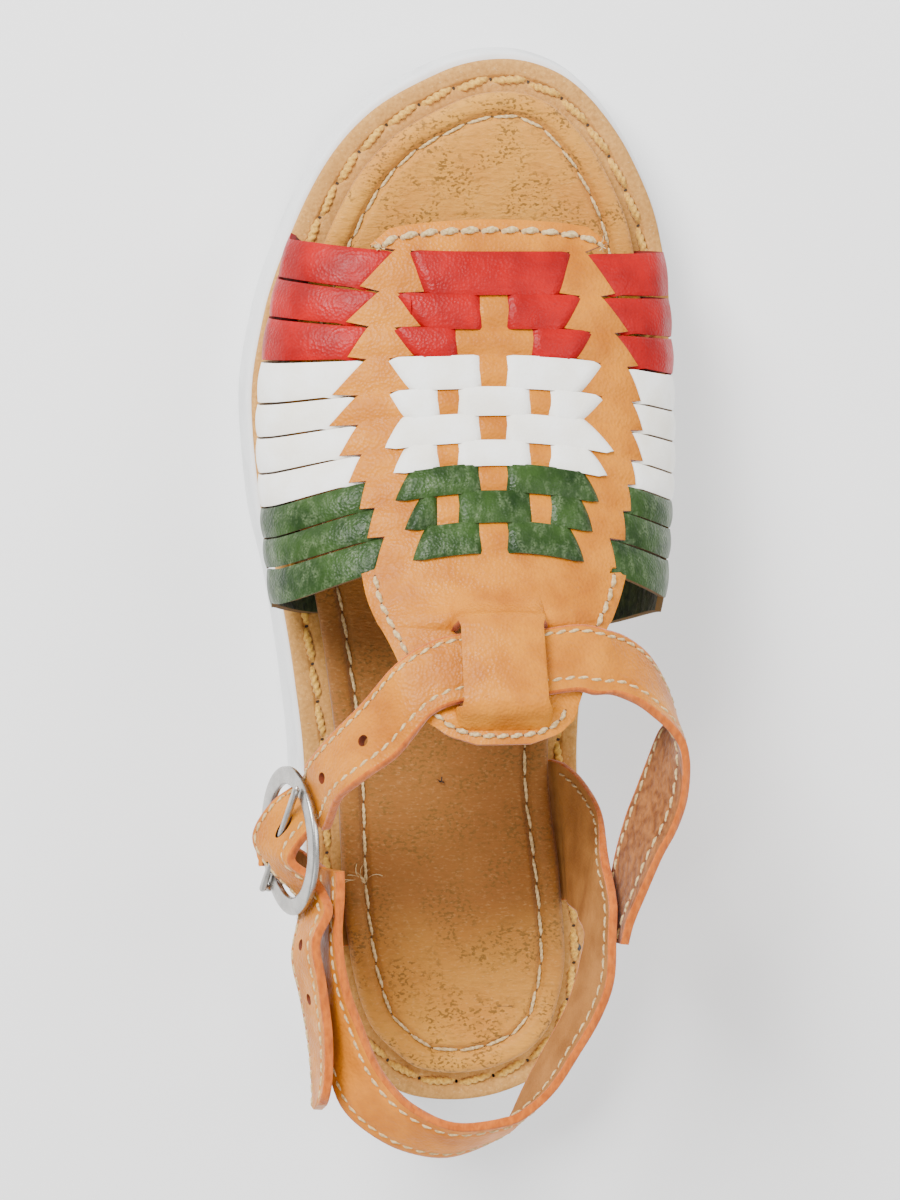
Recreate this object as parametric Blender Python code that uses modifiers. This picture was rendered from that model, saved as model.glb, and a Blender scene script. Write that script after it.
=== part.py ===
"""Left huarache sandal: woven leather vamp, slotted tab, buckled ankle strap, heel band and wedge sole.

Metres, +Z up, toe towards +Y, inner (medial) side towards +X. The origin is on the floor,
half way along the sole.
"""

import math

import bmesh
import bpy
from mathutils import Vector

# Driving sizes of the sole.
SOLE_LENGTH = 0.2505
BALL_WIDTH = 0.1010
HEEL_HEIGHT = 0.0320
BALL_HEIGHT = 0.0203
TOE_LIFT = 0.0037
TOE_SPRING = 0.0085
HEEL_BEVEL = 0.0018
MIDSOLE_THICKNESS = 0.0040
OUTSOLE_LIP = 0.0009
OUTSOLE_FLARE = 0.0018
TOE_BUMPER = 0.0010
SIDE_GROOVE = 0.0008
GROOVE_DROP = 0.0042
GROOVE_WIDTH = 0.0014
EDGE_ROUND = 0.0010
SOLE_STATIONS = 34

# The footbed stands inside the welt's stitched margin, and its rim is cut away below the leather.
WELT_MARGIN = 0.0077
FOOTBED_THICKNESS = 0.0042
FOOTBED_ROUND = 0.0012
TUCK_DEPTH = 0.0050
GAP = 0.0003
TUCK_GAP = 0.0004

# Driving sizes of the upper.
INSTEP_HEIGHT = 0.0620
LAST_FULLNESS = 2.2
RIDGE_OFFSET = 0.0030
PLATE_THICKNESS = 0.0016
STRAP_THICKNESS = 0.0015
WEAVE_RISE = 0.0010
WEAVE_DIP = 0.0009
WEAVE_RAMP = 0.0016
SIDE_GAP = 0.0011
CENTRE_GAP = 0.0006
SLOT_WIDTH = 0.0010
TOOTH_OVERLAP = 0.0009

# Ankle strap, heel band and buckle.
BAND_WIDTH = 0.0160
BAND_THICKNESS = 0.0024
BAND_CHAMFER = 0.0004
SLOT_CLEARANCE = 0.0006
HOLE_DIAMETER = 0.0026
RING_ALONG = 0.0350
RING_ACROSS = 0.0320
RING_RIM = 0.0042
RING_THICKNESS = 0.0020
RING_TILT = 18.0
PRONG_DIAMETER = 0.0017
TAB_WIDTH = 0.0080
TAB_THICKNESS = 0.0015

# One row per cut across the sole: place from the heel as a share of its length, then how far the
# welt's edge stands to the outer and the inner side as shares of the ball width.
SOLE_CUTS = (
    # along, outer, inner
    (0.0000, 0.014, -0.014),
    (0.0064, 0.129, 0.097),
    (0.0280, 0.212, 0.205),
    (0.0720, 0.300, 0.285),
    (0.1440, 0.348, 0.318),
    (0.2240, 0.368, 0.305),
    (0.3270, 0.374, 0.279),
    (0.4150, 0.396, 0.295),
    (0.5030, 0.430, 0.367),
    (0.5830, 0.472, 0.446),
    (0.6750, 0.488, 0.503),
    (0.7550, 0.459, 0.514),
    (0.8380, 0.389, 0.485),
    (0.9060, 0.302, 0.418),
    (0.9500, 0.204, 0.345),
    (0.9830, 0.064, 0.256),
    (0.9956, -0.018, 0.184),
    (1.0000, -0.109, 0.109),
)

# One row per cut: how much of the wedge's rise and of the toe's lift the welt's top has there,
# and how much of the toe spring and of the heel's bevel the tread has.
SOLE_PROFILE = (
    # along, wedge, lift, spring, bevel
    (0.00, 1.00, 0.00, 0.00, 1.00),
    (0.04, 1.00, 0.00, 0.00, 0.00),
    (0.12, 0.98, 0.00, 0.00, 0.00),
    (0.24, 0.93, 0.00, 0.00, 0.00),
    (0.39, 0.70, 0.00, 0.00, 0.00),
    (0.52, 0.36, 0.00, 0.00, 0.00),
    (0.60, 0.15, 0.00, 0.00, 0.00),
    (0.68, 0.02, 0.00, 0.00, 0.00),
    (0.78, 0.00, 0.02, 0.00, 0.00),
    (0.84, 0.00, 0.10, 0.10, 0.00),
    (0.93, 0.00, 0.42, 0.42, 0.00),
    (1.00, 0.00, 1.00, 1.00, 0.00),
)

# One row per place along the sole: where leather is tucked under the footbed, 1 for yes.
TUCKS = (
    # along, outer, inner
    (0.000, 0.0, 0.0),
    (0.100, 0.0, 0.0),
    (0.130, 1.0, 0.0),
    (0.150, 1.0, 0.0),
    (0.180, 1.0, 1.0),
    (0.245, 1.0, 1.0),
    (0.275, 0.0, 1.0),
    (0.350, 0.0, 1.0),
    (0.385, 0.0, 0.0),
    (0.418, 0.0, 0.0),
    (0.450, 1.0, 1.0),
    (0.852, 1.0, 1.0),
    (0.887, 0.0, 0.0),
    (1.000, 0.0, 0.0),
)

# One row per cut across the foot's form: its half widths to the outer and the inner side as shares
# of the ball width, then its ridge and its widest line above the welt as shares of the instep.
FORM_CUTS = (
    # along, outer, inner, ridge, widest
    (0.300, 0.400, 0.400, 1.060, 0.370),
    (0.379, 0.415, 0.415, 1.000, 0.350),
    (0.451, 0.437, 0.433, 0.920, 0.315),
    (0.499, 0.450, 0.447, 0.840, 0.290),
    (0.559, 0.464, 0.463, 0.742, 0.268),
    (0.651, 0.472, 0.481, 0.613, 0.220),
    (0.719, 0.458, 0.480, 0.532, 0.197),
    (0.802, 0.414, 0.468, 0.435, 0.162),
    (0.830, 0.392, 0.458, 0.387, 0.150),
    (0.865, 0.360, 0.440, 0.320, 0.130),
)

# The lines between the woven straps, front to back, at the outer edge, the ridge and the inner
# edge as shares of the sole's length.
STRAP_LINES = (
    # outer, ridge, inner
    (0.8367, 0.8180, 0.8180),
    (0.7976, 0.7795, 0.7733),
    (0.7589, 0.7490, 0.7335),
    (0.7165, 0.7240, 0.6965),
    (0.6773, 0.6950, 0.6610),
    (0.6463, 0.6705, 0.6315),
    (0.6130, 0.6460, 0.5995),
    (0.5813, 0.6250, 0.5725),
    (0.5524, 0.6010, 0.5445),
    (0.5243, 0.5740, 0.5130),
    (0.4880, 0.5475, 0.4695),
)

# One row per strap, front to back: where it goes under the plate's outer and inner bands, at its
# front and its rear edge, as shares of the ball width.
SLITS = (
    # outer front, outer rear, left front, left rear, right front, right rear, inner front, inner rear
    (-0.171, -0.254, -0.138, -0.104, 0.230, 0.195, 0.266, 0.334),
    (-0.209, -0.287, -0.171, -0.108, 0.250, 0.200, 0.298, 0.362),
    (-0.236, -0.286, -0.181, -0.126, 0.273, 0.226, 0.327, 0.384),
    (-0.243, -0.322, -0.195, -0.140, 0.294, 0.233, 0.355, 0.387),
    (-0.263, -0.331, -0.195, -0.153, 0.295, 0.231, 0.363, 0.389),
    (-0.265, -0.311, -0.169, -0.208, 0.246, 0.315, 0.357, 0.385),
    (-0.260, -0.293, -0.161, -0.191, 0.253, 0.294, 0.353, 0.364),
    (-0.253, -0.271, -0.155, -0.190, 0.238, 0.270, 0.342, 0.348),
    (-0.236, -0.257, -0.133, -0.173, 0.228, 0.250, 0.327, 0.329),
    (-0.218, -0.244, -0.126, -0.158, 0.197, 0.225, 0.290, 0.303),
)

# Which of the plate's uprights each strap goes under: 0 outer, 1 middle, 2 inner.
DIPS = ((), (1,), (0, 1, 2), (1,), (0, 2), (1,), (0, 2), (1,), (0, 2), (1,))

# The edges of the three uprights at the front of the weave as shares of the ball width, and how
# far they lean to the outer side over the weave's length.
UPRIGHTS = ((-0.073, -0.023), (0.021, 0.087), (0.136, 0.186))
UPRIGHT_LEAN = 0.032

# The plate behind the weave: its edges as shares of the ball width, how much of the raised band's
# height the middle has, and whether the two strap slots are open up to the next row.
TAB_ROWS = (
    # along, outer, inner, raised, slotted
    (0.5290, -0.272, 0.330, 0.00, False),
    (0.5130, -0.266, 0.316, 0.00, False),
    (0.5000, -0.257, 0.302, 0.25, False),
    (0.4890, -0.245, 0.287, 0.60, True),
    (0.4805, -0.234, 0.273, 1.00, True),
    (0.4570, -0.206, 0.241, 1.00, True),
    (0.4360, -0.187, 0.214, 1.00, True),
    (0.4140, -0.167, 0.191, 1.00, True),
    (0.4060, -0.151, 0.182, 0.50, False),
    (0.3985, -0.128, 0.166, 0.00, False),
    (0.3905, -0.098, 0.140, 0.00, False),
    (0.3835, -0.040, 0.080, 0.00, False),
)
# The plate's front edge: place along the sole, how far its ends bow back, and its middle, reach
# and two ends across; then the places across of the strap's two slots.
PLATE_FRONT = (0.845, 0.013, 0.055, 0.270)
PLATE_FRONT_ENDS = (-0.212, 0.322)
SLOT_PLACES = (-0.068, 0.112)
TAB_MARGIN = 0.024

# Ankle strap from its inner end to the tab. Each row has a point on its front edge and one on
# its rear edge: across as shares of the ball width, along as shares of the sole's length, and
# height above the welt as shares of the instep.
STRAP_INNER = (
    # front: across, along, up; rear: across, along, up
    (0.288, 0.160, 0.516, 0.315, 0.168, 0.768),
    (0.297, 0.188, 0.524, 0.324, 0.196, 0.777),
    (0.308, 0.229, 0.560, 0.352, 0.234, 0.795),
    (0.322, 0.267, 0.600, 0.390, 0.272, 0.810),
    (0.343, 0.300, 0.602, 0.422, 0.292, 0.813),
    (0.371, 0.330, 0.604, 0.444, 0.312, 0.815),
    (0.394, 0.355, 0.610, 0.454, 0.336, 0.830),
    (0.418, 0.377, 0.613, 0.454, 0.358, 0.848),
    (0.439, 0.390, 0.620, 0.441, 0.377, 0.870),
    (0.434, 0.407, 0.648, 0.412, 0.393, 0.892),
    (0.411, 0.430, 0.692, 0.375, 0.406, 0.910),
    (0.370, 0.455, 0.748, 0.333, 0.418, 0.927),
    (0.319, 0.472, 0.800, 0.280, 0.426, 0.943),
    (0.265, 0.480, 0.868, 0.235, 0.428, 0.955),
)

# The two edges where the strap lies on the tab.
STRAP_ON_TAB = (
    # front: across, along; rear: across, along
    (0.201, 0.4830, 0.181, 0.4230),
    (0.116, 0.4830, 0.098, 0.4180),
    (0.025, 0.4800, 0.016, 0.4170),
    (-0.075, 0.4775, -0.065, 0.4160),
    (-0.144, 0.4670, -0.123, 0.4090),
    (-0.208, 0.4450, -0.166, 0.3950),
)

# From the tab to the buckle, in the first table's columns.
STRAP_OUTER = (
    (-0.281, 0.418, 0.820, -0.224, 0.373, 0.950),
    (-0.345, 0.386, 0.725, -0.289, 0.353, 0.907),
    (-0.396, 0.355, 0.610, -0.341, 0.332, 0.808),
)

# The same edges where the strap winds through the ring: toward the toe, up in the ring's plane
# and out of it, as shares of the ring's length.
STRAP_AT_RING = (
    # front: toe, up, out; rear: toe, up, out
    (0.470, 0.100, -0.086, 0.150, 0.420, -0.088),
    (0.365, -0.020, -0.076, 0.145, 0.345, -0.086),
    (0.225, -0.150, 0.066, 0.130, 0.262, -0.060),
    (-0.014, -0.303, 0.128, -0.100, 0.126, 0.046),
    (-0.225, -0.205, 0.040, -0.225, 0.225, -0.066),
    (-0.365, -0.100, -0.082, -0.320, 0.345, -0.092),
    (-0.500, -0.006, -0.080, -0.420, 0.434, -0.088),
)

# The strap's free end outside the heel band, in the columns of its first table.
STRAP_TAIL = (
    (-0.426, 0.168, 0.434, -0.388, 0.192, 0.660),
    (-0.407, 0.131, 0.444, -0.376, 0.154, 0.664),
    (-0.389, 0.089, 0.442, -0.363, 0.107, 0.668),
    (-0.380, 0.044, 0.443, -0.362, 0.069, 0.672),
    (-0.380, 0.020, 0.444, -0.371, 0.042, 0.672),
)

# Heel band from the inner quarter round the heel to the buckle, in the same columns, with its
# width as a share of the band's.
HEEL_ROWS = (
    # top: across, along, up; bottom: across, along, up; width
    (0.284, 0.262, 0.600, 0.255, 0.196, 0.400, 1.40),
    (0.292, 0.228, 0.740, 0.254, 0.192, 0.500, 1.15),
    (0.288, 0.196, 0.782, 0.252, 0.182, 0.537, 1.00),
    (0.285, 0.158, 0.777, 0.234, 0.149, 0.538, 1.00),
    (0.257, 0.123, 0.768, 0.206, 0.114, 0.530, 1.00),
    (0.203, 0.085, 0.759, 0.152, 0.073, 0.523, 1.00),
    (0.156, 0.055, 0.750, 0.110, 0.040, 0.510, 1.00),
    (0.101, 0.034, 0.742, 0.082, 0.013, 0.500, 1.00),
    (0.044, 0.023, 0.742, 0.055, -0.002, 0.506, 1.00),
    (-0.074, 0.020, 0.734, -0.079, -0.020, 0.530, 1.00),
    (-0.172, 0.039, 0.718, -0.214, -0.006, 0.543, 1.00),
    (-0.245, 0.072, 0.694, -0.323, 0.032, 0.540, 1.00),
    (-0.300, 0.124, 0.671, -0.356, 0.090, 0.472, 1.00),
    (-0.326, 0.160, 0.655, -0.363, 0.131, 0.430, 1.00),
    (-0.335, 0.196, 0.640, -0.366, 0.172, 0.400, 1.00),
    (-0.329, 0.231, 0.622, -0.356, 0.217, 0.370, 1.00),
    (-0.329, 0.255, 0.610, -0.355, 0.247, 0.360, 1.00),
)

# Lower edges of the two quarters where they leave the footbed: front and rear places along the sole.
INNER_QUARTER = (0.332, 0.196)
OUTER_QUARTER = (0.218, 0.156)

# The inner quarter between the footbed and the heel band, and the outer quarter up to the buckle,
# in the heel band's columns.
INNER_QUARTER_ROWS = (
    (0.240, 0.330, 0.120, 0.249, 0.197, 0.110, 2.10),
    (0.268, 0.318, 0.240, 0.252, 0.198, 0.190, 1.95),
    (0.290, 0.297, 0.440, 0.255, 0.198, 0.290, 1.70),
)
OUTER_QUARTER_ROWS = (
    (-0.322, 0.226, 0.150, -0.330, 0.163, 0.190, 1.00),
    (-0.348, 0.238, 0.330, -0.348, 0.180, 0.390, 1.00),
    (-0.350, 0.244, 0.430, -0.350, 0.190, 0.500, 1.00),
)
QUARTER_THINNING = 0.62

# A quarter's turned-in lower end: how far past the footbed's edge in tuck depths, and its rise in
# band widths.
TUCK_ROWS = ((-1.0, 0.0), (-0.6, 0.0), (-0.2, 0.0), (0.2, 0.02), (0.42, 0.14))

# The buckle's middle on the outer side, in shares of the ball width, the sole's length and the
# instep.
RING_PLACE = (-0.434, 0.277, 0.437)

# Middle of the tab that folds round the ring, from the quarter outwards, and the prong's root and
# tip on the ring's rim, all as shares of the ring's length.
TAB_ROWS_AT_RING = (
    # toe, up, out
    (-0.303, 0.043, -0.243),
    (-0.274, -0.129, -0.234),
    (-0.217, -0.300, -0.183),
    (-0.160, -0.446, -0.100),
    (-0.140, -0.483, -0.014),
    (-0.131, -0.455, 0.046),
    (-0.111, -0.377, 0.064),
    (-0.097, -0.340, 0.064),
)
PRONG_ROOT = (-0.311, -0.283)
PRONG_TIP = (0.411, 0.274)

# Places of the punched holes along the ankle strap, counted in its rows.
HOLE_PLACES = (20.45, 21.9, 29.9, 31.2)

COLOURS = {
    # colour, roughness, metallic
    "rubber": ((0.86, 0.87, 0.85), 0.55, 0.0),
    "welt": ((0.56, 0.42, 0.26), 0.80, 0.0),
    "lining": ((0.58, 0.36, 0.19), 0.60, 0.0),
    "leather": ((0.68, 0.35, 0.14), 0.50, 0.0),
    "nickel": ((0.72, 0.70, 0.67), 0.28, 1.0),
}


def new_collection(name):
    collection = bpy.data.collections.new(name)
    bpy.context.scene.collection.children.link(collection)
    return collection


def new_material(name):
    colour, roughness, metallic = COLOURS[name]
    material = bpy.data.materials.new(name)
    material.use_nodes = True
    shader = material.node_tree.nodes["Principled BSDF"]
    shader.inputs["Base Color"].default_value = (*colour, 1.0)
    shader.inputs["Roughness"].default_value = roughness
    shader.inputs["Metallic"].default_value = metallic
    return material


def new_object(name, mesh, material, collection):
    thing = bpy.data.objects.new(name, mesh)
    mesh.materials.append(material)
    collection.objects.link(thing)
    return thing


def new_mesh(name, points, faces, outwards=True):
    """Make a mesh from points and faces, with its faces turned outwards."""
    mesh = bpy.data.meshes.new(name)
    mesh.from_pydata([tuple(point) for point in points], [], faces)
    if outwards:
        shape = bmesh.new()
        shape.from_mesh(mesh)
        bmesh.ops.recalc_face_normals(shape, faces=shape.faces)
        shape.to_mesh(mesh)
        shape.free()
    return mesh


def smooth(places, values, place):
    """Read a smooth curve through the values that makes no new peaks between them."""
    last = len(places) - 1
    place = min(max(place, places[0]), places[last])
    i = max(k for k in range(last) if places[k] <= place)
    slopes = [(values[k + 1] - values[k]) / (places[k + 1] - places[k]) for k in range(last)]

    def tangent(k):
        before = slopes[max(k - 1, 0)]
        after = slopes[min(k, last - 1)]
        if before * after <= 0.0:
            return 0.0
        return 2.0 * before * after / (before + after)

    step = places[i + 1] - places[i]
    t = (place - places[i]) / step
    rise = values[i + 1] - values[i]
    start = tangent(i) * step
    end = tangent(i + 1) * step
    return values[i] + t * start + t * t * (3 * rise - 2 * start - end) + t ** 3 * (start + end - 2 * rise)


def read(table, column, along):
    return smooth([row[0] for row in table], [row[column] for row in table], along)


def to_y(along):
    return (along - 0.5) * SOLE_LENGTH


def to_along(y):
    return y / SOLE_LENGTH + 0.5


def deck(y):
    """Height of the midsole's top."""
    along = to_along(y)
    wedge = read(SOLE_PROFILE, 1, along) * (HEEL_HEIGHT - BALL_HEIGHT)
    return BALL_HEIGHT + wedge + read(SOLE_PROFILE, 2, along) * TOE_LIFT


def tread(y):
    along = to_along(y)
    return read(SOLE_PROFILE, 3, along) * TOE_SPRING + read(SOLE_PROFILE, 4, along) * HEEL_BEVEL


def turn(along):
    """Angle of a cut on the round ends, so that the tables read smoothly there."""
    return math.acos(1.0 - 2.0 * min(max(along, 0.0), 1.0))


def sole_outline(stations=SOLE_STATIONS):
    """The welt's edge, up the outer side from the heel and back down the inner side."""
    turns = [turn(row[0]) for row in SOLE_CUTS]
    ring = []
    for i in range(stations + 1):
        angle = math.pi * i / stations
        across = smooth(turns, [row[1] for row in SOLE_CUTS], angle)
        ring.append(Vector((-across * BALL_WIDTH, to_y((1.0 - math.cos(angle)) / 2.0), 0.0)))
    for i in range(stations - 1, 0, -1):
        angle = math.pi * i / stations
        across = smooth(turns, [row[2] for row in SOLE_CUTS], angle)
        ring.append(Vector((across * BALL_WIDTH, to_y((1.0 - math.cos(angle)) / 2.0), 0.0)))
    return ring


def moved_out(ring, distance):
    """The ring moved out by a distance, or by a function of each of its points."""
    moved = []
    for i, point in enumerate(ring):
        run = ring[(i + 1) % len(ring)] - ring[i - 1]
        out = Vector((-run.y, run.x, 0.0)).normalized()
        step = distance(point) if callable(distance) else distance
        moved.append(point + out * step)
    return moved


def at_height(ring, height):
    return [Vector((point.x, point.y, height(point))) for point in ring]


def stacked_rings(name, rings, material, collection):
    """A closed body through rings of equal count, its ends closed like a ladder."""
    count = len(rings[0])
    points = [point for ring in rings for point in ring]
    faces = []
    for level in range(len(rings) - 1):
        low = level * count
        for i in range(count):
            j = (i + 1) % count
            faces.append((low + i, low + j, low + count + j, low + count + i))
    half = count // 2
    for start in (0, (len(rings) - 1) * count):
        faces.append((start, start + 1, start + count - 1))
        for i in range(1, half - 1):
            faces.append((start + i, start + i + 1, start + count - i - 1, start + count - i))
        faces.append((start + half - 1, start + half, start + half + 1))
    return new_object(name, new_mesh(name, points, faces), material, collection)


def outsole(collection, material):
    edge = sole_outline()

    def bumper(point):
        share = min(max((to_along(point.y) - 0.80) / 0.20, 0.0), 1.0)
        return TOE_BUMPER * share * share

    def ring(out, height):
        return at_height(moved_out(edge, lambda point: out + bumper(point)), height)

    def below_top(drop):
        return lambda point: deck(point.y) - MIDSOLE_THICKNESS - GAP - drop

    groove_floor = GROOVE_DROP + GROOVE_WIDTH / 2
    rings = [
        ring(OUTSOLE_FLARE - EDGE_ROUND, lambda point: tread(point.y)),
        ring(OUTSOLE_FLARE, lambda point: tread(point.y) + EDGE_ROUND),
        ring(OUTSOLE_LIP, below_top(GROOVE_DROP + GROOVE_WIDTH)),
        ring(OUTSOLE_LIP - SIDE_GROOVE, below_top(groove_floor)),
        ring(OUTSOLE_LIP, below_top(GROOVE_DROP)),
        ring(OUTSOLE_LIP, below_top(EDGE_ROUND)),
        ring(OUTSOLE_LIP - EDGE_ROUND, below_top(0.0)),
    ]
    return stacked_rings("outsole", rings, material, collection)


def midsole(collection, material):
    edge = sole_outline()

    def ring(out, below):
        return at_height(moved_out(edge, out), lambda point: deck(point.y) - below)

    rings = [
        ring(-EDGE_ROUND / 2, MIDSOLE_THICKNESS),
        ring(0.0, MIDSOLE_THICKNESS - EDGE_ROUND / 2),
        ring(0.0, EDGE_ROUND),
        ring(-EDGE_ROUND, 0.0),
    ]
    return stacked_rings("midsole", rings, material, collection)


def footbed_edge(side, y):
    """Place across of the footbed's edge, side -1 for the outer and 1 for the inner."""
    ring = moved_out(sole_outline(), -WELT_MARGIN)
    half = len(ring) // 2
    points = ring[:half + 1] if side < 0 else [ring[0]] + ring[:half - 1:-1]
    points = sorted(points, key=lambda point: point.y)
    i = max(k for k in range(len(points) - 1) if points[k].y <= y or k == 0)
    share = (y - points[i].y) / (points[i + 1].y - points[i].y)
    return points[i].x + (points[i + 1].x - points[i].x) * share


def footbed(collection, material):
    edge = moved_out(sole_outline(), -WELT_MARGIN)
    rebate = STRAP_THICKNESS + GAP
    middle = edge[0].x

    def tucked(point):
        side = 1 if point.x < middle else 2
        return read(TUCKS, side, to_along(point.y)) * rebate

    def ring(out, rise):
        lifted = moved_out(edge, out)
        lifts = [tucked(point) for point in edge]
        if rise is None:
            return [Vector((p.x, p.y, deck(p.y) + GAP + lift)) for p, lift in zip(lifted, lifts)]
        return [Vector((p.x, p.y, deck(p.y) + GAP + rise)) for p in lifted]

    wall = TUCK_DEPTH + FOOTBED_ROUND
    lower = ring(-FOOTBED_ROUND / 3, None)
    side = [
        Vector((p.x, p.y, low.z + FOOTBED_ROUND / 2))
        for p, low in zip(edge, lower)
    ]
    rings = [
        ring(-wall - 2 * EDGE_ROUND, 0.0),
        ring(-wall, None),
        lower,
        side,
        ring(0.0, FOOTBED_THICKNESS - FOOTBED_ROUND),
        ring(-FOOTBED_ROUND / 3, FOOTBED_THICKNESS - FOOTBED_ROUND / 3),
        ring(-FOOTBED_ROUND, FOOTBED_THICKNESS),
    ]
    return stacked_rings("footbed", rings, material, collection)


def form_half_width(side, y):
    column = 1 if side < 0 else 2
    half = read(FORM_CUTS, column, to_along(y)) * BALL_WIDTH
    return half + RIDGE_OFFSET if side < 0 else half - RIDGE_OFFSET


def form_point(side, turned, y):
    """A point on the foot's form: turned is 0 on the ridge, 1 on the widest line, 2 at the
    footbed's edge and 3 at the end of the tuck below it."""
    along = to_along(y)
    widest = read(FORM_CUTS, 4, along) * INSTEP_HEIGHT
    half = form_half_width(side, y)
    if turned <= 1.0:
        angle = turned * math.pi / 2
        power = 2.0 / LAST_FULLNESS
        x = RIDGE_OFFSET + side * half * math.sin(angle) ** power
        rise = read(FORM_CUTS, 3, along) * INSTEP_HEIGHT - widest
        z = deck(y) + widest + rise * math.cos(angle) ** power
        return Vector((x, y, z))
    edge = footbed_edge(side, y)
    low = deck(y) + GAP + STRAP_THICKNESS
    if turned <= 2.0:
        angle = (turned - 1.0) * math.pi / 2
        bulge = RIDGE_OFFSET + side * half - edge
        x = edge + bulge * math.cos(angle)
        z = low + (deck(y) + widest - low) * (1.0 - math.sin(angle))
        return Vector((x, y, z))
    return Vector((edge - side * (turned - 2.0) * TUCK_DEPTH, y, low))


def turned_at(x, y):
    """Side and turn of the form's surface at a place across, seen from above."""
    side = -1 if x < RIDGE_OFFSET else 1
    share = min(abs(x - RIDGE_OFFSET) / form_half_width(side, y), 1.0)
    return side, math.asin(share ** (LAST_FULLNESS / 2.0)) / (math.pi / 2)


def form_normal(side, turned, y):
    step = 0.01
    reach = 0.0005
    before = form_point(side, max(turned - step, 0.0), y)
    after = form_point(side, min(turned + step, 3.0), y)
    ahead = form_point(side, turned, y + reach)
    behind = form_point(side, turned, y - reach)
    normal = (after - before).cross(ahead - behind) * side
    return normal.normalized() * (-1 if normal.length and normal.z < 0 and turned < 1 else 1)


def lifted(x, y, height):
    """A point above the form, from its place seen from above."""
    side, turned = turned_at(x, y)
    return form_point(side, turned, y) + form_normal(side, turned, y) * height


def strap_line(index, x):
    """Place along the sole of a line between straps, at a place across."""
    outer, ridge, inner = STRAP_LINES[index]
    share = (x - RIDGE_OFFSET) / (0.5 * BALL_WIDTH)
    end = outer if share < 0 else inner
    return to_y(ridge + (end - ridge) * min(share * share, 1.0))


def sheet(name, rows, filled, thickness, collection, material):
    """An open surface of rows of points, without its open cells, given a wall outwards."""
    width = len(rows[0])
    points = [point for row in rows for point in row]
    faces = []
    for r in range(len(rows) - 1):
        for c in range(width - 1):
            if filled(r, c):
                corner = r * width + c
                faces.append((corner, corner + width, corner + width + 1, corner + 1))
    mesh = new_mesh(name, points, faces, outwards=False)
    shape = bmesh.new()
    shape.from_mesh(mesh)
    loose = [vertex for vertex in shape.verts if not vertex.link_faces]
    bmesh.ops.delete(shape, geom=loose, context="VERTS")
    shape.to_mesh(mesh)
    shape.free()
    thing = new_object(name, mesh, material, collection)
    wall = thing.modifiers.new("wall", "SOLIDIFY")
    wall.thickness = thickness
    wall.offset = 1.0
    wall.use_even_offset = True
    return thing


def as_guide(thing):
    thing.hide_render = True
    thing.display_type = "WIRE"


def upright_edges(y):
    share = (STRAP_LINES[0][1] - to_along(y)) / (STRAP_LINES[0][1] - STRAP_LINES[-1][1])
    lean = UPRIGHT_LEAN * min(max(share, 0.0), 1.0)
    return [(edge - lean) * BALL_WIDTH for pair in UPRIGHTS for edge in pair]


def plate_front(x):
    front, bow, middle, reach = PLATE_FRONT
    return to_y(front - bow * ((x / BALL_WIDTH - middle) / reach) ** 2)


def plate(collection, material):
    """The tan plate: a front bar, two toothed bands, three uprights, and the slotted tab."""
    rise = BAND_THICKNESS + 2 * SLOT_CLEARANCE + GAP + PLATE_THICKNESS
    rows = []
    kinds = []

    def add(xs, ys, lifts, kind):
        rows.append([lifted(x, y, lift) for x, y, lift in zip(xs, ys, lifts)])
        kinds.append(kind)

    def weave_row(slits, line):
        outer, left, right, inner = [slit * BALL_WIDTH for slit in slits]
        middles = upright_edges(strap_line(line, RIDGE_OFFSET))
        xs = [outer, (outer + left) / 2, left] + middles + [right, (right + inner) / 2, inner]
        return xs, [strap_line(line, x) for x in xs]

    first = SLITS[0]
    outer_end, inner_end = PLATE_FRONT_ENDS
    xs, _ = weave_row((outer_end, first[2], first[4], inner_end), 0)
    add(xs, [plate_front(x) for x in xs], [0.0] * len(xs), "whole")
    for i, slits in enumerate(SLITS):
        xs, ys = weave_row(slits[0::2], i)
        add(xs, ys, [0.0] * len(xs), "woven")
        xs, ys = weave_row(slits[1::2], i + 1)
        add(xs, [y + TOOTH_OVERLAP for y in ys], [0.0] * len(xs), "woven")
    kinds[-1] = "whole"
    for along, outer, inner, raised, slotted in TAB_ROWS:
        y = to_y(along)
        left = SLOT_PLACES[0] * BALL_WIDTH
        right = SLOT_PLACES[1] * BALL_WIDTH
        low = outer * BALL_WIDTH
        high = inner * BALL_WIDTH
        half = SLOT_WIDTH / 2
        left = max(left, low + TAB_MARGIN * BALL_WIDTH)
        right = min(right, high - TAB_MARGIN * BALL_WIDTH)
        inside = [left + half + (right - left - SLOT_WIDTH) * k / 5 for k in range(6)]
        xs = [low, (low + left - half) / 2, left - half] + inside
        xs += [right + half, (right + half + high) / 2, high]
        lifts = [0.0] * 3 + [raised * rise] * 6 + [0.0] * 3
        add(xs, [y] * len(xs), lifts, "slotted" if slotted else "whole")

    def filled(row, column):
        if kinds[row] == "woven":
            return column not in (2, 4, 6, 8)
        if kinds[row] == "slotted":
            return column not in (2, 8)
        return True

    return sheet("woven_upper", rows, filled, PLATE_THICKNESS, collection, material)


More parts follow.
